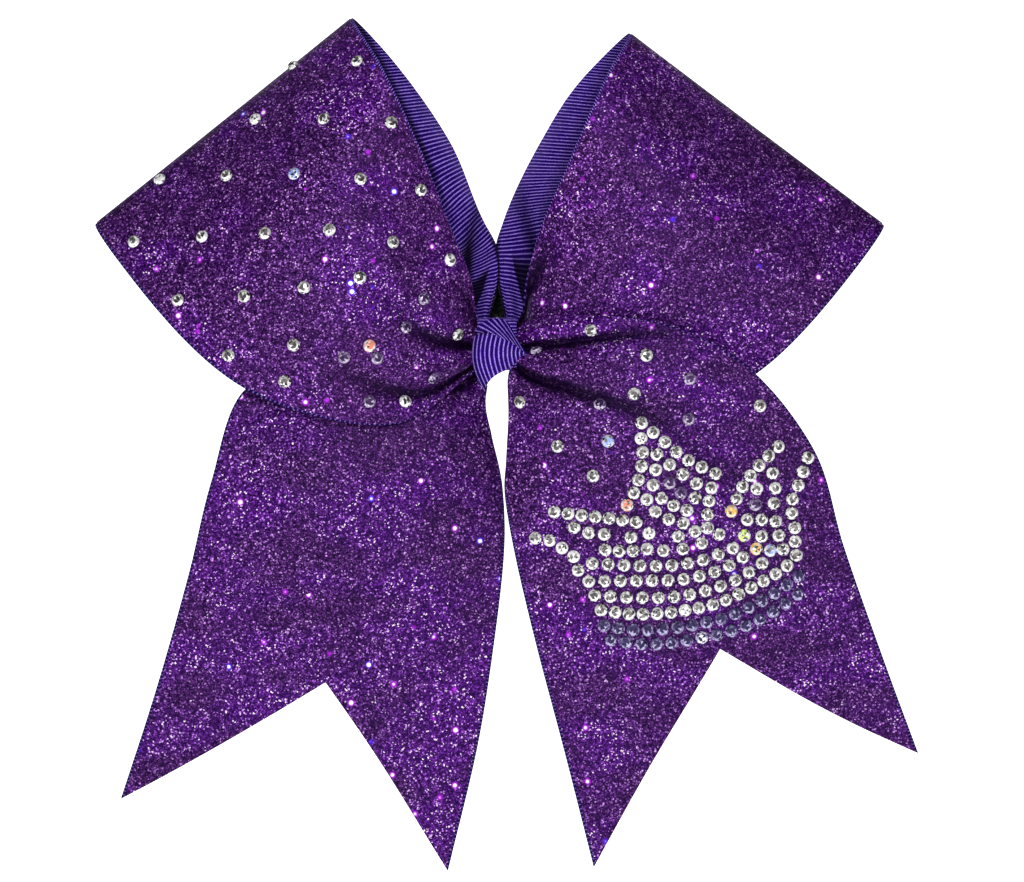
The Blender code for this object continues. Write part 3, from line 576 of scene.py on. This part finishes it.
def line_curve(points, shares):
    """Points at these shares of the length of a smooth curve through plain points."""
    knots = np.array(points, float)
    at = way(knots)
    return rail_curve(np.column_stack([at / at[-1], knots]), shares)


def fold_height(folds, along, across, width):
    """How far the folds lift the cloth: each is a soft ridge or valley that fans out from the neck."""
    lift = np.zeros_like(along)
    for neck, reached, reach, wide, height in folds:
        line = neck + (reached - neck) * along / reach
        off = (across - line) * width / (wide * (0.45 + 0.9 * np.minimum(along / reach, 1.5)))
        lift += height * np.exp(-(off**2)) * np.exp(-((along / reach) ** 2))
    return lift


def ripple(points, size, seed):
    """A soft unevenness of the cloth, from a few crossing waves of this wavelength in millimetres."""
    rng = np.random.default_rng(seed)
    out = np.zeros(points.shape[:-1])
    for _ in range(RIPPLE_WAVES):
        turn = rng.uniform(0, 2 * math.pi)
        k = 2 * math.pi / (size * rng.uniform(0.7, 1.6))
        across = points[..., 0] * math.cos(turn) + points[..., 2] * math.sin(turn)
        out += np.sin(k * across + rng.uniform(0, 6.28))
    return out / RIPPLE_WAVES


def loop_surface(upper, lower, folds, back_folds, seed, along, across):
    """The middle surface of a loop's ribbon, painted shade from how deep in a fold each point is, and its
    share of the way.
    """
    a, b = rail_curve(upper, along), rail_curve(lower, along)
    points = (1 - across)[..., None] * a + across[..., None] * b
    points[..., 1] -= LOOP_BELLY * np.sin(math.pi * across) * np.sin(2 * math.pi * np.maximum(along, 0))
    width = np.linalg.norm(a - b, axis=-1)
    back = along > 0.5
    from_neck = np.maximum(np.where(back, 1 - along, along), 0)
    lift = np.where(
        back, fold_height(back_folds, from_neck, across, width), fold_height(folds, from_neck, across, width)
    )
    # Painted shade: deeper where a fold sinks.
    painted_shade = np.clip(np.where(back, lift, -lift) / FOLD_DARK_DEPTH, 0, 1)
    free = np.clip(from_neck / 0.10, 0, 1) * np.clip((0.5 - from_neck) / 0.05, 0, 1)
    lift += 0.55 * free * ripple(points, 26.0, seed) + 0.16 * free * ripple(points, 8.0, seed + 1)
    points[..., 1] -= np.where(back, -1, 1) * lift
    return points, painted_shade, along


def tail_surface(notch, outer, inner, folds, seed, along, across):
    """The same for a tail, whose end is drawn up in the middle for its notch."""
    middle, depth = notch
    drawn = along * (1 - depth * (1 - np.abs(2 * across - 1)))
    over = np.interp(across, (0.0, 0.5, 1.0), (0.0, middle, 1.0))
    a, b = rail_curve(outer, drawn), rail_curve(inner, drawn)
    points = (1 - over)[..., None] * a + over[..., None] * b
    share, drawn = drawn, np.maximum(drawn, 0)
    points[..., 1] -= TAIL_BELLY * np.sin(math.pi * over) * np.sin(math.pi * np.minimum(drawn / 0.8, 1.0))
    lift = fold_height(folds, drawn, over, np.linalg.norm(a - b, axis=-1))
    # Painted shade: the fold valleys, and TAIL_SHADE over the whole tail.
    painted_shade = np.clip(TAIL_SHADE - lift / FOLD_DARK_DEPTH, 0, 1)
    free = np.clip(drawn / 0.2, 0, 1)
    lift += 0.6 * free * ripple(points, 28.0, seed) + 0.16 * free * ripple(points, 8.0, seed + 1)
    points[..., 1] -= lift
    return points, painted_shade, share


def unit(vectors):
    return vectors / np.linalg.norm(vectors, axis=-1, keepdims=True)


def smoothstep(low, high, x):
    """0 below low, 1 above high, and smooth between."""
    t = np.clip((x - low) / (high - low), 0, 1)
    return t * t * (3 - 2 * t)


def grid_quads(grid):
    """The four-sided faces between the neighbours of a grid of point numbers."""
    corners = [grid[:-1, :-1], grid[:-1, 1:], grid[1:, 1:], grid[1:, :-1]]
    return np.stack(corners, axis=-1).reshape(-1, 4)


def closed_sheet(name, low, high, look, floats):
    """A closed sheet between two grids of points, with attributes given on the grid."""
    row = low.shape[1]
    size = low.shape[0] * row
    grid = np.arange(size).reshape(-1, row)
    quads = grid_quads(grid)
    faces = quads.tolist() + (quads[:, ::-1] + size).tolist()
    rim = list(grid[:, 0]) + list(grid[-1, 1:]) + list(grid[-2::-1, -1]) + list(grid[0, -2:0:-1])
    for k, p in enumerate(rim):
        q = rim[(k + 1) % len(rim)]
        faces.append((int(p), int(q), int(size + q), int(size + p)))
    both = np.concatenate([low.reshape(-1, 3), high.reshape(-1, 3)])
    doubled = {key: np.tile(values.ravel(), 2) for key, values in floats.items()}
    return make_mesh(name, both, faces, look, floats=doubled)


def no_glow(points):
    return np.zeros(points.shape[:-1])


def left_tail_glow(points):
    """Painted light: brighter outside the dome that the loop's edge presses into the tail's top."""
    away = np.hypot((points[..., 0] + 22) / 38, (points[..., 2] + 12) / 44)
    return smoothstep(0.94, 1.08, away)


def right_tail_glow(points):
    """Painted light: brighter towards the tail's end."""
    return smoothstep(55.0, 85.0, -points[..., 2])


def ribbon_distance(rails, share):
    """Distance along the ribbon, on the line midway between its rails, at each share of its way."""
    at = np.linspace(NECK_START, 1, 400)
    line = (rail_curve(rails[0], at) + rail_curve(rails[1], at)) / 2
    return np.interp(share, at, way(line))


def edge_distance(upper, z):
    """How far along the ribbon the upper rail's back half meets each height, and its x there."""
    rail = rail_curve(upper, np.linspace(0.5, 1, 200))
    distance = way(rail)
    beyond = 100
    heights = np.concatenate([[rail[0, 2] + beyond], rail[:, 2], [rail[-1, 2] - beyond]])
    distances = np.concatenate([[-beyond], distance, [distance[-1] + beyond]])
    return np.interp(-z, -heights, distances), np.interp(-z, -rail[:, 2], rail[:, 0])


def back_ribs(upper, slopes):
    """Rib phase of a loop's back half: a rib leaves the upper edge with the slope of its height."""

    def phase(points):
        x, z = points[..., 0], points[..., 2]
        _, edge = edge_distance(upper, z)
        slope = at_height(z, slopes)
        return edge_distance(upper, z + (edge - x) * slope)[0]

    return phase


def at_height(z, line):
    """The value at each height of a line given as (z, value)."""
    return np.interp(z, *zip(*line, strict=True))


def left_painted_shadow(points):
    """Painted shadow inside the left loop: the pocket by its column, and a strip behind its front half's
    edge.
    """
    x, z = points[..., 0], points[..., 2]
    edge = at_height(z, LEFT_POCKET_EDGE)
    pocket = smoothstep(0.0, 0.35, edge - x) * (1 - smoothstep(-0.4, 1.6, z - 19.7 - 0.75 * x))
    front_edge = at_height(z, LEFT_FRONT_EDGE)
    behind_front = (1 - smoothstep(0.7, 2.3, x - front_edge)) * smoothstep(26.0, 44.0, z)
    return np.maximum(pocket, 0.9 * behind_front)


def right_painted_shadow(points):
    """Painted shadow inside the right loop, made the same way as for the left loop."""
    x, z = points[..., 0], points[..., 2]
    edge = at_height(z, RIGHT_POCKET_EDGE)
    pocket = smoothstep(0.0, 0.5, x - edge) * (1 - smoothstep(19.0, 25.0, z))
    front_edge = at_height(z, RIGHT_FRONT_EDGE)
    behind_front = (1 - smoothstep(0.5, 4.0, front_edge - x)) * smoothstep(24.0, 34.0, z)
    return np.maximum(pocket, 0.5 * behind_front)


def loop_shade(cloth, points, along, across, painted_shade, is_backing):
    """A loop's painted shade: its folds, its crease, the columns' inner edges and, on the backing, the
    painted shadow inside it.
    """
    edge = (1 - smoothstep(0.012, 0.035, across)) * smoothstep(0.86, 0.90, along)
    inside = np.maximum(edge, cloth["painted_shadow"](points)) if is_backing else edge
    painted_shade = np.where(along > 0.5, np.maximum(painted_shade, inside), painted_shade)
    return np.maximum(painted_shade, 0.55 * (1 - smoothstep(0.004, 0.024, np.abs(along - 0.5))))


def painted_curl_sheen(along, across):
    """Painted sheen: where the upper edge of a loop's back half curls, it is painted paler."""
    strip = 1 - smoothstep(0.01, 0.06, across)
    return strip * smoothstep(0.60, 0.70, along) * (1 - smoothstep(0.82, 0.88, along))


def ribbon_layer(name, surface, cloth, shape, margin, layer, look):
    """One layer of ribbon as a closed sheet: the surface between two heights along its normal."""
    steps, cross = shape
    is_loop, is_backing = "ribs" in cloth, margin == 0.0
    s = np.linspace(NECK_START, 1, steps + 1)
    v = np.clip(np.linspace(0, 1, cross + 1), margin, 1 - margin)
    along, across = np.meshgrid(s, v, indexing="ij")
    points, painted_shade, share = surface(along, across)
    normals = unit(np.cross(np.gradient(points, axis=0), np.gradient(points, axis=1)))
    if normals[steps // 6, cross // 2, 1] > 0:
        normals = -normals
    phase = ribbon_distance(cloth["rails"], share)
    if is_loop:
        phase = np.where(along > 0.5, cloth["ribs"](points), phase)
        painted_shade = loop_shade(cloth, points, along, across, painted_shade, is_backing)
    # Painted light: the tails' glow; on the backing, the loops' painted curl sheen, and none on tails.
    glow = cloth["glow"](points)
    if is_backing:
        glow = painted_curl_sheen(along, across) if is_loop else no_glow(points)
        # Painted shade: the backing's edges are drawn darker.
        selvedge = (across > 0.985) | ((across < 0.015) & (not is_loop))
        painted_shade = np.where(selvedge, np.maximum(painted_shade, 0.6), painted_shade)
    floats = {"along_mm": phase, "painted_shade": painted_shade, "glow": glow}
    low, high = layer
    return closed_sheet(name, points + normals * low, points + normals * high, look, floats)


def flat_length(surface):
    """The length of the ribbon's middle line, in millimetres."""
    s = np.linspace(NECK_START, 1, 400)
    line, _, _ = surface(s, np.full_like(s, 0.5))
    return float(np.linalg.norm(np.diff(line, axis=0), axis=1).sum())


def ribbon_panel(name, surface, cloth, shape, looks):
    """A panel's grosgrain and glitter layers."""
    backing = ribbon_layer(f"{name}_grosgrain", surface, cloth, shape, 0.0, BACKING_LAYER, looks["grosgrain"])
    face = ribbon_layer(f"{name}_glitter", surface, cloth, shape, SELVEDGE, FACE_LAYER, looks["glitter"])
    for piece, node, slot in ((backing, "backing", "grosgrain"), (face, "glitter_face", "glitter")):
        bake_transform(piece)
        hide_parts(f"{name}_{node}")
    return face


def loft(name, rings, look, caps=False):
    """A skin over rings of points, each of which ends where it starts. Its stitches follow the rings' way."""
    rings = np.asarray(rings, float)
    count, size = rings.shape[:2]
    grid = np.arange(count * size).reshape(count, size)
    faces = grid_quads(grid).tolist()
    if caps:
        faces += [grid[0, :-1].tolist(), grid[-1, :-1][::-1].tolist()]
    centres = rings[:, :-1].mean(axis=1)
    along = way(centres)
    floats = {
        "along_mm": np.repeat(along[:, None], size, axis=1),
        "around": np.tile(np.linspace(0, 1, size), (count, 1)),
        "painted_shade": np.zeros((count, size)),
    }
    return make_mesh(name, rings, faces, look, floats=floats)


# ---------------- knot, gathered middle and elastic


def knot_fold(name, fold, look):
    """One fold of the knot: a cushion whose ribs run from its top rail to its bottom one."""
    s, v = np.meshgrid(np.linspace(0, 1, 140), np.linspace(0, 1, 60), indexing="ij")
    a, b = line_curve(fold["top"], s), line_curve(fold["bottom"], s)
    flat = (1 - v)[..., None] * a + v[..., None] * b
    x = flat[..., 0] - fold["bow"] * np.sin(math.pi * v) * (1 - s)
    start, span = fold["dome"]
    swell = np.sin(math.pi * (0.10 + 0.82 * s)) ** 0.5 * np.sin(math.pi * (start + span * v)) ** 0.6
    rib = FOLD_RIB_DEPTH * np.sin(2 * math.pi * fold["ribs"] * s)
    high = np.stack([x, FOLD_FRONT - fold["rise"] * swell - rib, flat[..., 1]], axis=-1)
    low = np.stack([x, np.full_like(x, FOLD_BACK), flat[..., 1]], axis=-1)
    # Painted shade: darker along the fold's top and its left edge.
    top_shade = fold["top_shade"] * (1 - smoothstep(0.0, 0.10, v))
    shade = np.maximum(top_shade, 0.5 * (1 - smoothstep(0.0, 0.16, s)))
    floats = {"along_mm": s * fold["ribs"] * RIB_PITCH, "painted_shade": shade}
    return closed_sheet(name, low, high, look, floats)


def strap_outline(x, inset, count=8):
    """The strap's outline in y and z at this x, inset from its outside, ending where it starts."""
    corner = STRAP_CORNER - inset
    bottom = np.interp(x, *zip(*STRAP_BOTTOM, strict=True))
    ring = []
    for y, z, start in (
        (STRAP_BACK - STRAP_CORNER, STRAP_TOP - STRAP_CORNER, 0),
        (STRAP_FRONT + STRAP_CORNER, STRAP_TOP - STRAP_CORNER, 90),
        (STRAP_FRONT + STRAP_CORNER, bottom + STRAP_CORNER, 180),
        (STRAP_BACK - STRAP_CORNER, bottom + STRAP_CORNER, 270),
    ):
        for a in np.radians(start + np.linspace(0, 90, count)):
            ring.append((y + corner * math.cos(a), z + corner * math.sin(a)))
    return np.array([*ring, ring[0]])


def strap(look):
    """The strap's band, with ribs along x, since they run across the ribbon's length."""
    half = STRAP_HALF_WIDTH
    side = half - STRAP_BEVEL
    outside = [(x, 0.0) for x in np.linspace(-side, side, 15)]
    inside = [(half, STRAP_THICK), (-half, STRAP_THICK), (-half, STRAP_BEVEL)]
    sections = [(-half, STRAP_BEVEL), *outside, (half, STRAP_BEVEL), *inside]
    rings = []
    for x, inset in sections:
        outline = strap_outline(x, inset)
        rings.append(np.column_stack([np.full(len(outline), x), outline]))
    piece = loft("knot_strap", rings, look)
    around = np.tile(way(strap_outline(-half, 0.0)), len(sections))
    piece.data.attributes["along_mm"].data.foreach_set("value", around.astype(np.float32))
    return piece


def fluted_outline(offset, flutes=13, count=130):
    """The gathered middle's outline in y and z, fluted by its folds, ending where it starts."""
    a = np.linspace(0, 2 * math.pi, count + 1)
    c, s = np.cos(a), np.sin(a)
    squareness = (np.abs(c) ** 4 + np.abs(s) ** 4) ** -0.25
    out = offset - 0.25 + 0.25 * np.cos(flutes * a)
    middle, half_depth = (PINCH_FRONT + PINCH_BACK) / 2, (PINCH_BACK - PINCH_FRONT) / 2
    y = middle + (half_depth + out) * c * squareness
    z = (PINCH_HALF_HEIGHT + out) * s * squareness
    return np.column_stack([y, z])


def gathered_middle(look):
    rings = []
    for x in np.linspace(-PINCH_HALF_LENGTH, PINCH_HALF_LENGTH, 13):
        outline = fluted_outline(0.35 * (x / PINCH_HALF_LENGTH) ** 2 - 0.35)
        rings.append(np.column_stack([np.full(len(outline), x), outline]))
    return loft("gathered_middle", rings, look, caps=True)


def thread_turns(look):
    """Three turns of thread round the gathered middle."""
    rings = []
    for k in range(THREAD_SECTIONS + 1):
        x = THREAD_HALF_WIDTH * (2 * k / THREAD_SECTIONS - 1)
        outline = fluted_outline(0.55 + 0.4 * abs(math.sin(3 * math.pi * k / THREAD_SECTIONS)))
        rings.append(np.column_stack([np.full(len(outline), x), outline]))
    return loft("thread_turns", rings, look)


def elastic_ring(look):
    """The elastic's closed tube: under the strap, up behind it, then round the ponytail."""
    right = [np.array(p) for p in ELASTIC_HALF_PATH]
    left = [p * (-1, 1, 1) for p in reversed(right)]
    knots = [left[-1], (0.0, 7.5, 0.0), *right, (0.0, 54.6, 10.6), *left, (0.0, 7.5, 0.0), right[0]]
    at = way(np.array(knots))
    path = rail_curve(np.column_stack([at, knots]), np.linspace(at[1], at[-2], ELASTIC_SECTIONS + 1))
    path[-1] = path[0]
    turns = np.linspace(0, 2 * math.pi, ELASTIC_SIDES + 1)
    side = np.array((0.0, 0.0, 1.0))
    rings = []
    for i, middle in enumerate(path):
        along = unit(path[i + 1 if i < ELASTIC_SECTIONS else 1] - path[i - 1 if i else -2])
        side = unit(side - np.dot(side, along) * along)
        up = np.cross(side, along)
        rings.append([middle + ELASTIC_RADIUS * (math.cos(a) * side + math.sin(a) * up) for a in turns])
    return loft("hair_elastic_tube", rings, look)


def centre_pieces(looks):
    """The knot, the gathered middle, its thread and the elastic."""
    ribbed = looks["grosgrain"]
    for piece, body, node, slot in (
        (knot_fold("knot_lower_fold", LOWER_FOLD, ribbed), "centre", "centre_knot", "grosgrain"),
        (knot_fold("knot_upper_fold", UPPER_FOLD, ribbed), "centre", "centre_knot", "grosgrain"),
        (strap(ribbed), "centre", "centre_knot", "grosgrain"),
        (gathered_middle(ribbed), "centre", "ribbon_pinch", "grosgrain"),
        (thread_turns(looks["thread"]), "centre", "cinch_thread", "thread"),
        (elastic_ring(looks["elastic"]), "elastic", "hair_elastic", "elastic"),
    ):
        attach(piece, body)
        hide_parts(node)


# ---------------- stones


def tree_of(ob):
    points = [v.co for v in ob.data.vertices]
    return BVHTree.FromPolygons(points, [tuple(f.vertices) for f in ob.data.polygons])


def on_front(tree, x, z):
    """Where a line along +Y first meets the cloth, and its normal there, in millimetres."""
    hit, normal, _, _ = tree.ray_cast(Vector((x * MM, -0.2, z * MM)), Vector((0, 1, 0)))
    normal = np.array(normal)
    return np.array(hit) / MM, normal if normal[1] < 0 else -normal


def brilliant(at, normal, turn):
    """A flat-back brilliant: points and flat facets of a base, a girdle, two tiers and a table."""
    side = np.cross(normal, (0.0, 0.0, 1.0))
    side /= np.linalg.norm(side)
    up = np.cross(side, normal)
    points, rings = [], []
    for tier, (share, height, count) in enumerate(STONE_TIERS):
        ring = []
        offset = 0.5 if tier == 2 else 0.0
        for k in range(count):
            a = 2 * math.pi * (k + offset) / count + turn
            ring.append(len(points))
            outward = math.cos(a) * side + math.sin(a) * up
            points.append(at + normal * height + STONE_RADIUS * share * outward)
        rings.append(ring)
    base, girdle, star, table = rings
    points.append(at + normal * TABLE_TIP)
    top = len(points) - 1
    faces = [tuple(reversed(base))]
    faces += [(table[k], table[(k + 1) % 8], top) for k in range(8)]
    faces += [(base[k], base[(k + 1) % 16], girdle[(k + 1) % 16], girdle[k]) for k in range(16)]
    for k in range(8):
        left, mid, right = girdle[2 * k], girdle[2 * k + 1], girdle[(2 * k + 2) % 16]
        after = star[(k + 1) % 8]
        faces += [(left, mid, star[k]), (mid, right, star[k]), (right, after, star[k])]
        faces += [(star[k - 1], star[k], table[k]), (table[k], star[k], table[(k + 1) % 8])]
    return points, faces


def facet_colours(rng, turn, palette, flash):
    """A painted colour for each facet of one stone: a dull table with a painted glint, and a ring with
    painted light, brightest below.
    """
    shade = np.empty(FACETS)
    shade[0] = 0.0
    shade[TABLE_FACETS] = rng.uniform(0.12, 0.40, 8)
    # A painted glint on one facet of the table.
    shade[1 + rng.integers(0, 8)] = 0.9
    shade[SIDE_FACETS] = rng.uniform(0.10, 0.8, 16)
    # Painted light: the ring's facets are brighter towards the stone's lower side.
    around = 2 * math.pi * (np.arange(40) // 5 + 0.5) / 8 + turn
    ring = rng.uniform(0.55, 1.0, 40) - 0.18 * np.sin(around)
    ring[rng.uniform(size=40) > 0.82] = 0.12
    shade[CROWN_FACETS] = ring
    channels = zip(*[srgb(*colour) for colour in palette], strict=True)
    colours = np.column_stack([np.interp(shade, SHADE_STEPS, channel) for channel in channels])
    # A painted flash: half the facets take its colour.
    if flash:
        lit = rng.uniform(size=FACETS) > 0.5
        colours[lit] = 0.3 * colours[lit] + 0.7 * np.array(srgb(*FLASH_COLOURS[flash]))
    return np.column_stack([colours, np.ones(FACETS)])


def flash_at(x, z):
    near = [colour for a, b, colour in FLASHES if math.hypot(a - x, b - z) < FLASH_REACH]
    return near[0] if near else None


def stones(name, places, tree, look, palette, seed):
    """Stones set on the cloth as one mesh, each facet with its own colour."""
    rng = np.random.default_rng(seed)
    points, faces, colours = [], [], []
    for x, z in places:
        turn = rng.uniform(0, 0.8)
        more, sides = brilliant(*on_front(tree, x, z), turn)
        faces += [tuple(k + len(points) for k in f) for f in sides]
        points += more
        shades = DARK_SHADES if (x, z) in DARK_SPOTS else palette
        colours.append(facet_colours(rng, turn, shades, flash_at(x, z)))
    return make_mesh(name, points, faces, look, smooth=False, face_colours=np.concatenate(colours))


def evenly(count, *line):
    """count points evenly spread along a smooth curve through a row's points."""
    return list(line) if count == 1 else line_curve(line, np.linspace(0, 1, count)).tolist()


def all_stones(left_face, tail_face):
    """The single stones of the left loop and the right tail, and the crown's clear and violet ones."""
    clear = (stone_material("clear_crystal"), "clear")
    violet = (stone_material("violet_crystal"), "violet")
    loop = (tree_of(left_face), "left_loop", LEFT_LOOP_NECK)
    tail = (tree_of(tail_face), "right_tail", RIGHT_TAIL_NECK)
    crown = [p for row in CROWN_CLEAR_ROWS for p in evenly(*row)] + list(CROWN_JEWELS)
    band = [p for row in CROWN_BAND_ROWS for p in evenly(*row)]
    loop_nodes = [f"loop_stone_{i + 1:02d}" for i in range(len(LOOP_SPOTS))]
    tail_nodes = [f"tail_stone_{i + 1:02d}" for i in range(len(TAIL_SPOTS))]
    for name, places, panel, kind, shades, seed, nodes in (
        ("loop_stones", LOOP_SPOTS, loop, clear, SINGLE_SHADES, LOOP_STONES_SEED, loop_nodes),
        ("tail_stones", TAIL_SPOTS, tail, clear, SINGLE_SHADES, TAIL_STONES_SEED, tail_nodes),
        ("crown_clear", crown, tail, clear, CLEAR_SHADES, CROWN_CLEAR_SEED, ["crown_clear_stones"]),
        ("crown_violet", band, tail, violet, VIOLET_SHADES, CROWN_VIOLET_SEED, ["crown_violet_stones"]),
    ):
        tree, body, neck = panel
        look, slot = kind
        piece = stones(name, places, tree, look, shades, seed)
        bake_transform(piece)
        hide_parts(*nodes)


# ---------------- stage


def stage():
    """A white floor that curves up into a wall, far enough back to take no shadow."""
    bend = np.linspace(0.1, math.pi / 2, 10)
    profile = [(COVE_FRONT, COVE_FLOOR), (COVE_BACK, COVE_FLOOR)]
    profile += [
        (COVE_BACK + COVE_RADIUS * math.sin(a), COVE_FLOOR + COVE_RADIUS * (1 - math.cos(a))) for a in bend
    ]
    profile.append((COVE_BACK + COVE_RADIUS, COVE_TOP))
    points = [(x, y, z) for y, z in profile for x in (-COVE_HALF_WIDTH, COVE_HALF_WIDTH)]
    faces = [(2 * i, 2 * i + 1, 2 * i + 3, 2 * i + 2) for i in range(len(profile) - 1)]
    mesh = bpy.data.meshes.new("cove")
    mesh.from_pydata(points, [], faces)
    n = Nodes("white_cove")
    white = (1.0, 1.0, 1.0, 1.0)
    mesh.materials.append(
        n.set(Base_Color=(0.92, 0.92, 0.92, 1.0), Roughness=0.9, Emission_Color=white, Emission_Strength=1.0)
    )
    for face in mesh.polygons:
        face.use_smooth = True
    add_object("cove", mesh)


def lamp(name, place, target, size, watts):
    data = bpy.data.lights.new(name, "AREA")
    data.shape = "RECTANGLE"
    data.size, data.size_y = size
    data.energy = watts
    ob = add_object(name, data)
    ob.location = place
    ob.rotation_euler = (Vector(target) - Vector(place)).to_track_quat("-Z", "Y").to_euler()


def lights():
    for each in LAMPS:
        lamp(*each)
    world = bpy.data.worlds.new("studio")
    world.use_nodes = True
    background = world.node_tree.nodes["Background"]
    background.inputs["Color"].default_value = (1.0, 1.0, 1.0, 1.0)
    background.inputs["Strength"].default_value = WORLD_STRENGTH
    bpy.context.scene.world = world


def camera():
    data = bpy.data.cameras.new("camera")
    data.lens = CAMERA_LENS
    data.sensor_width = CAMERA_SENSOR
    data.clip_end = CAMERA_REACH
    ob = add_object("camera", data)
    ob.location = CAMERA_PLACE
    ob.rotation_euler = (math.pi / 2, 0, 0)
    bpy.context.scene.camera = ob


# ---------------- the bow


def loop_panel(name, upper, lower, folds, slopes, painted_shadow, seed, looks):
    """A loop's two layers. folds are those of its front half and of its back half."""
    surface = partial(loop_surface, upper, lower, *folds, seed)
    cloth = {"rails": (upper, lower), "glow": no_glow, "ribs": back_ribs(upper, slopes), "painted_shadow": painted_shadow}
    flat = (RIBBON_WIDTH * MM, flat_length(surface) * MM)
    return ribbon_panel(name, surface, cloth, LOOP_GRID, looks)


def tail_panel(name, notch, outer, inner, folds, glow, seed, looks):
    """A tail's two layers."""
    surface = partial(tail_surface, notch, outer, inner, folds, seed)
    cloth = {"rails": (outer, inner), "glow": glow}
    return ribbon_panel(name, surface, cloth, TAIL_GRID, looks)


def panels(looks):
    """The four ribbon panels. It returns the two glitter faces that stones are set on."""
    left_face = loop_panel(
        "left_loop", LEFT_LOOP_UPPER, LEFT_LOOP_LOWER, (LEFT_LOOP_FOLDS, LEFT_LOOP_BACK_FOLDS),
        LEFT_RIB_SLOPES, left_painted_shadow, LEFT_LOOP_SEED, looks,
    )
    loop_panel(
        "right_loop", RIGHT_LOOP_UPPER, RIGHT_LOOP_LOWER, (RIGHT_LOOP_FOLDS, RIGHT_LOOP_BACK_FOLDS),
        RIGHT_RIB_SLOPES, right_painted_shadow, RIGHT_LOOP_SEED, looks,
    )
    tail_panel(
        "left_tail", LEFT_NOTCH, LEFT_TAIL_OUTER, LEFT_TAIL_INNER, LEFT_TAIL_FOLDS,
        left_tail_glow, LEFT_TAIL_SEED, looks,
    )
    tail_face = tail_panel(
        "right_tail", RIGHT_NOTCH, RIGHT_TAIL_OUTER, RIGHT_TAIL_INNER, RIGHT_TAIL_FOLDS,
        right_tail_glow, RIGHT_TAIL_SEED, looks,
    )
    return left_face, tail_face


def main():
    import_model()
    bpy.context.scene.view_settings.view_transform = "Standard"
    camera()
    looks = {
        "glitter": glitter_material(),
        "grosgrain": grosgrain_material(),
        "elastic": elastic_material(),
        "thread": thread_material(),
    }
    left_face, tail_face = panels(looks)
    centre_pieces(looks)
    all_stones(left_face, tail_face)
    stage()
    lights()


main()
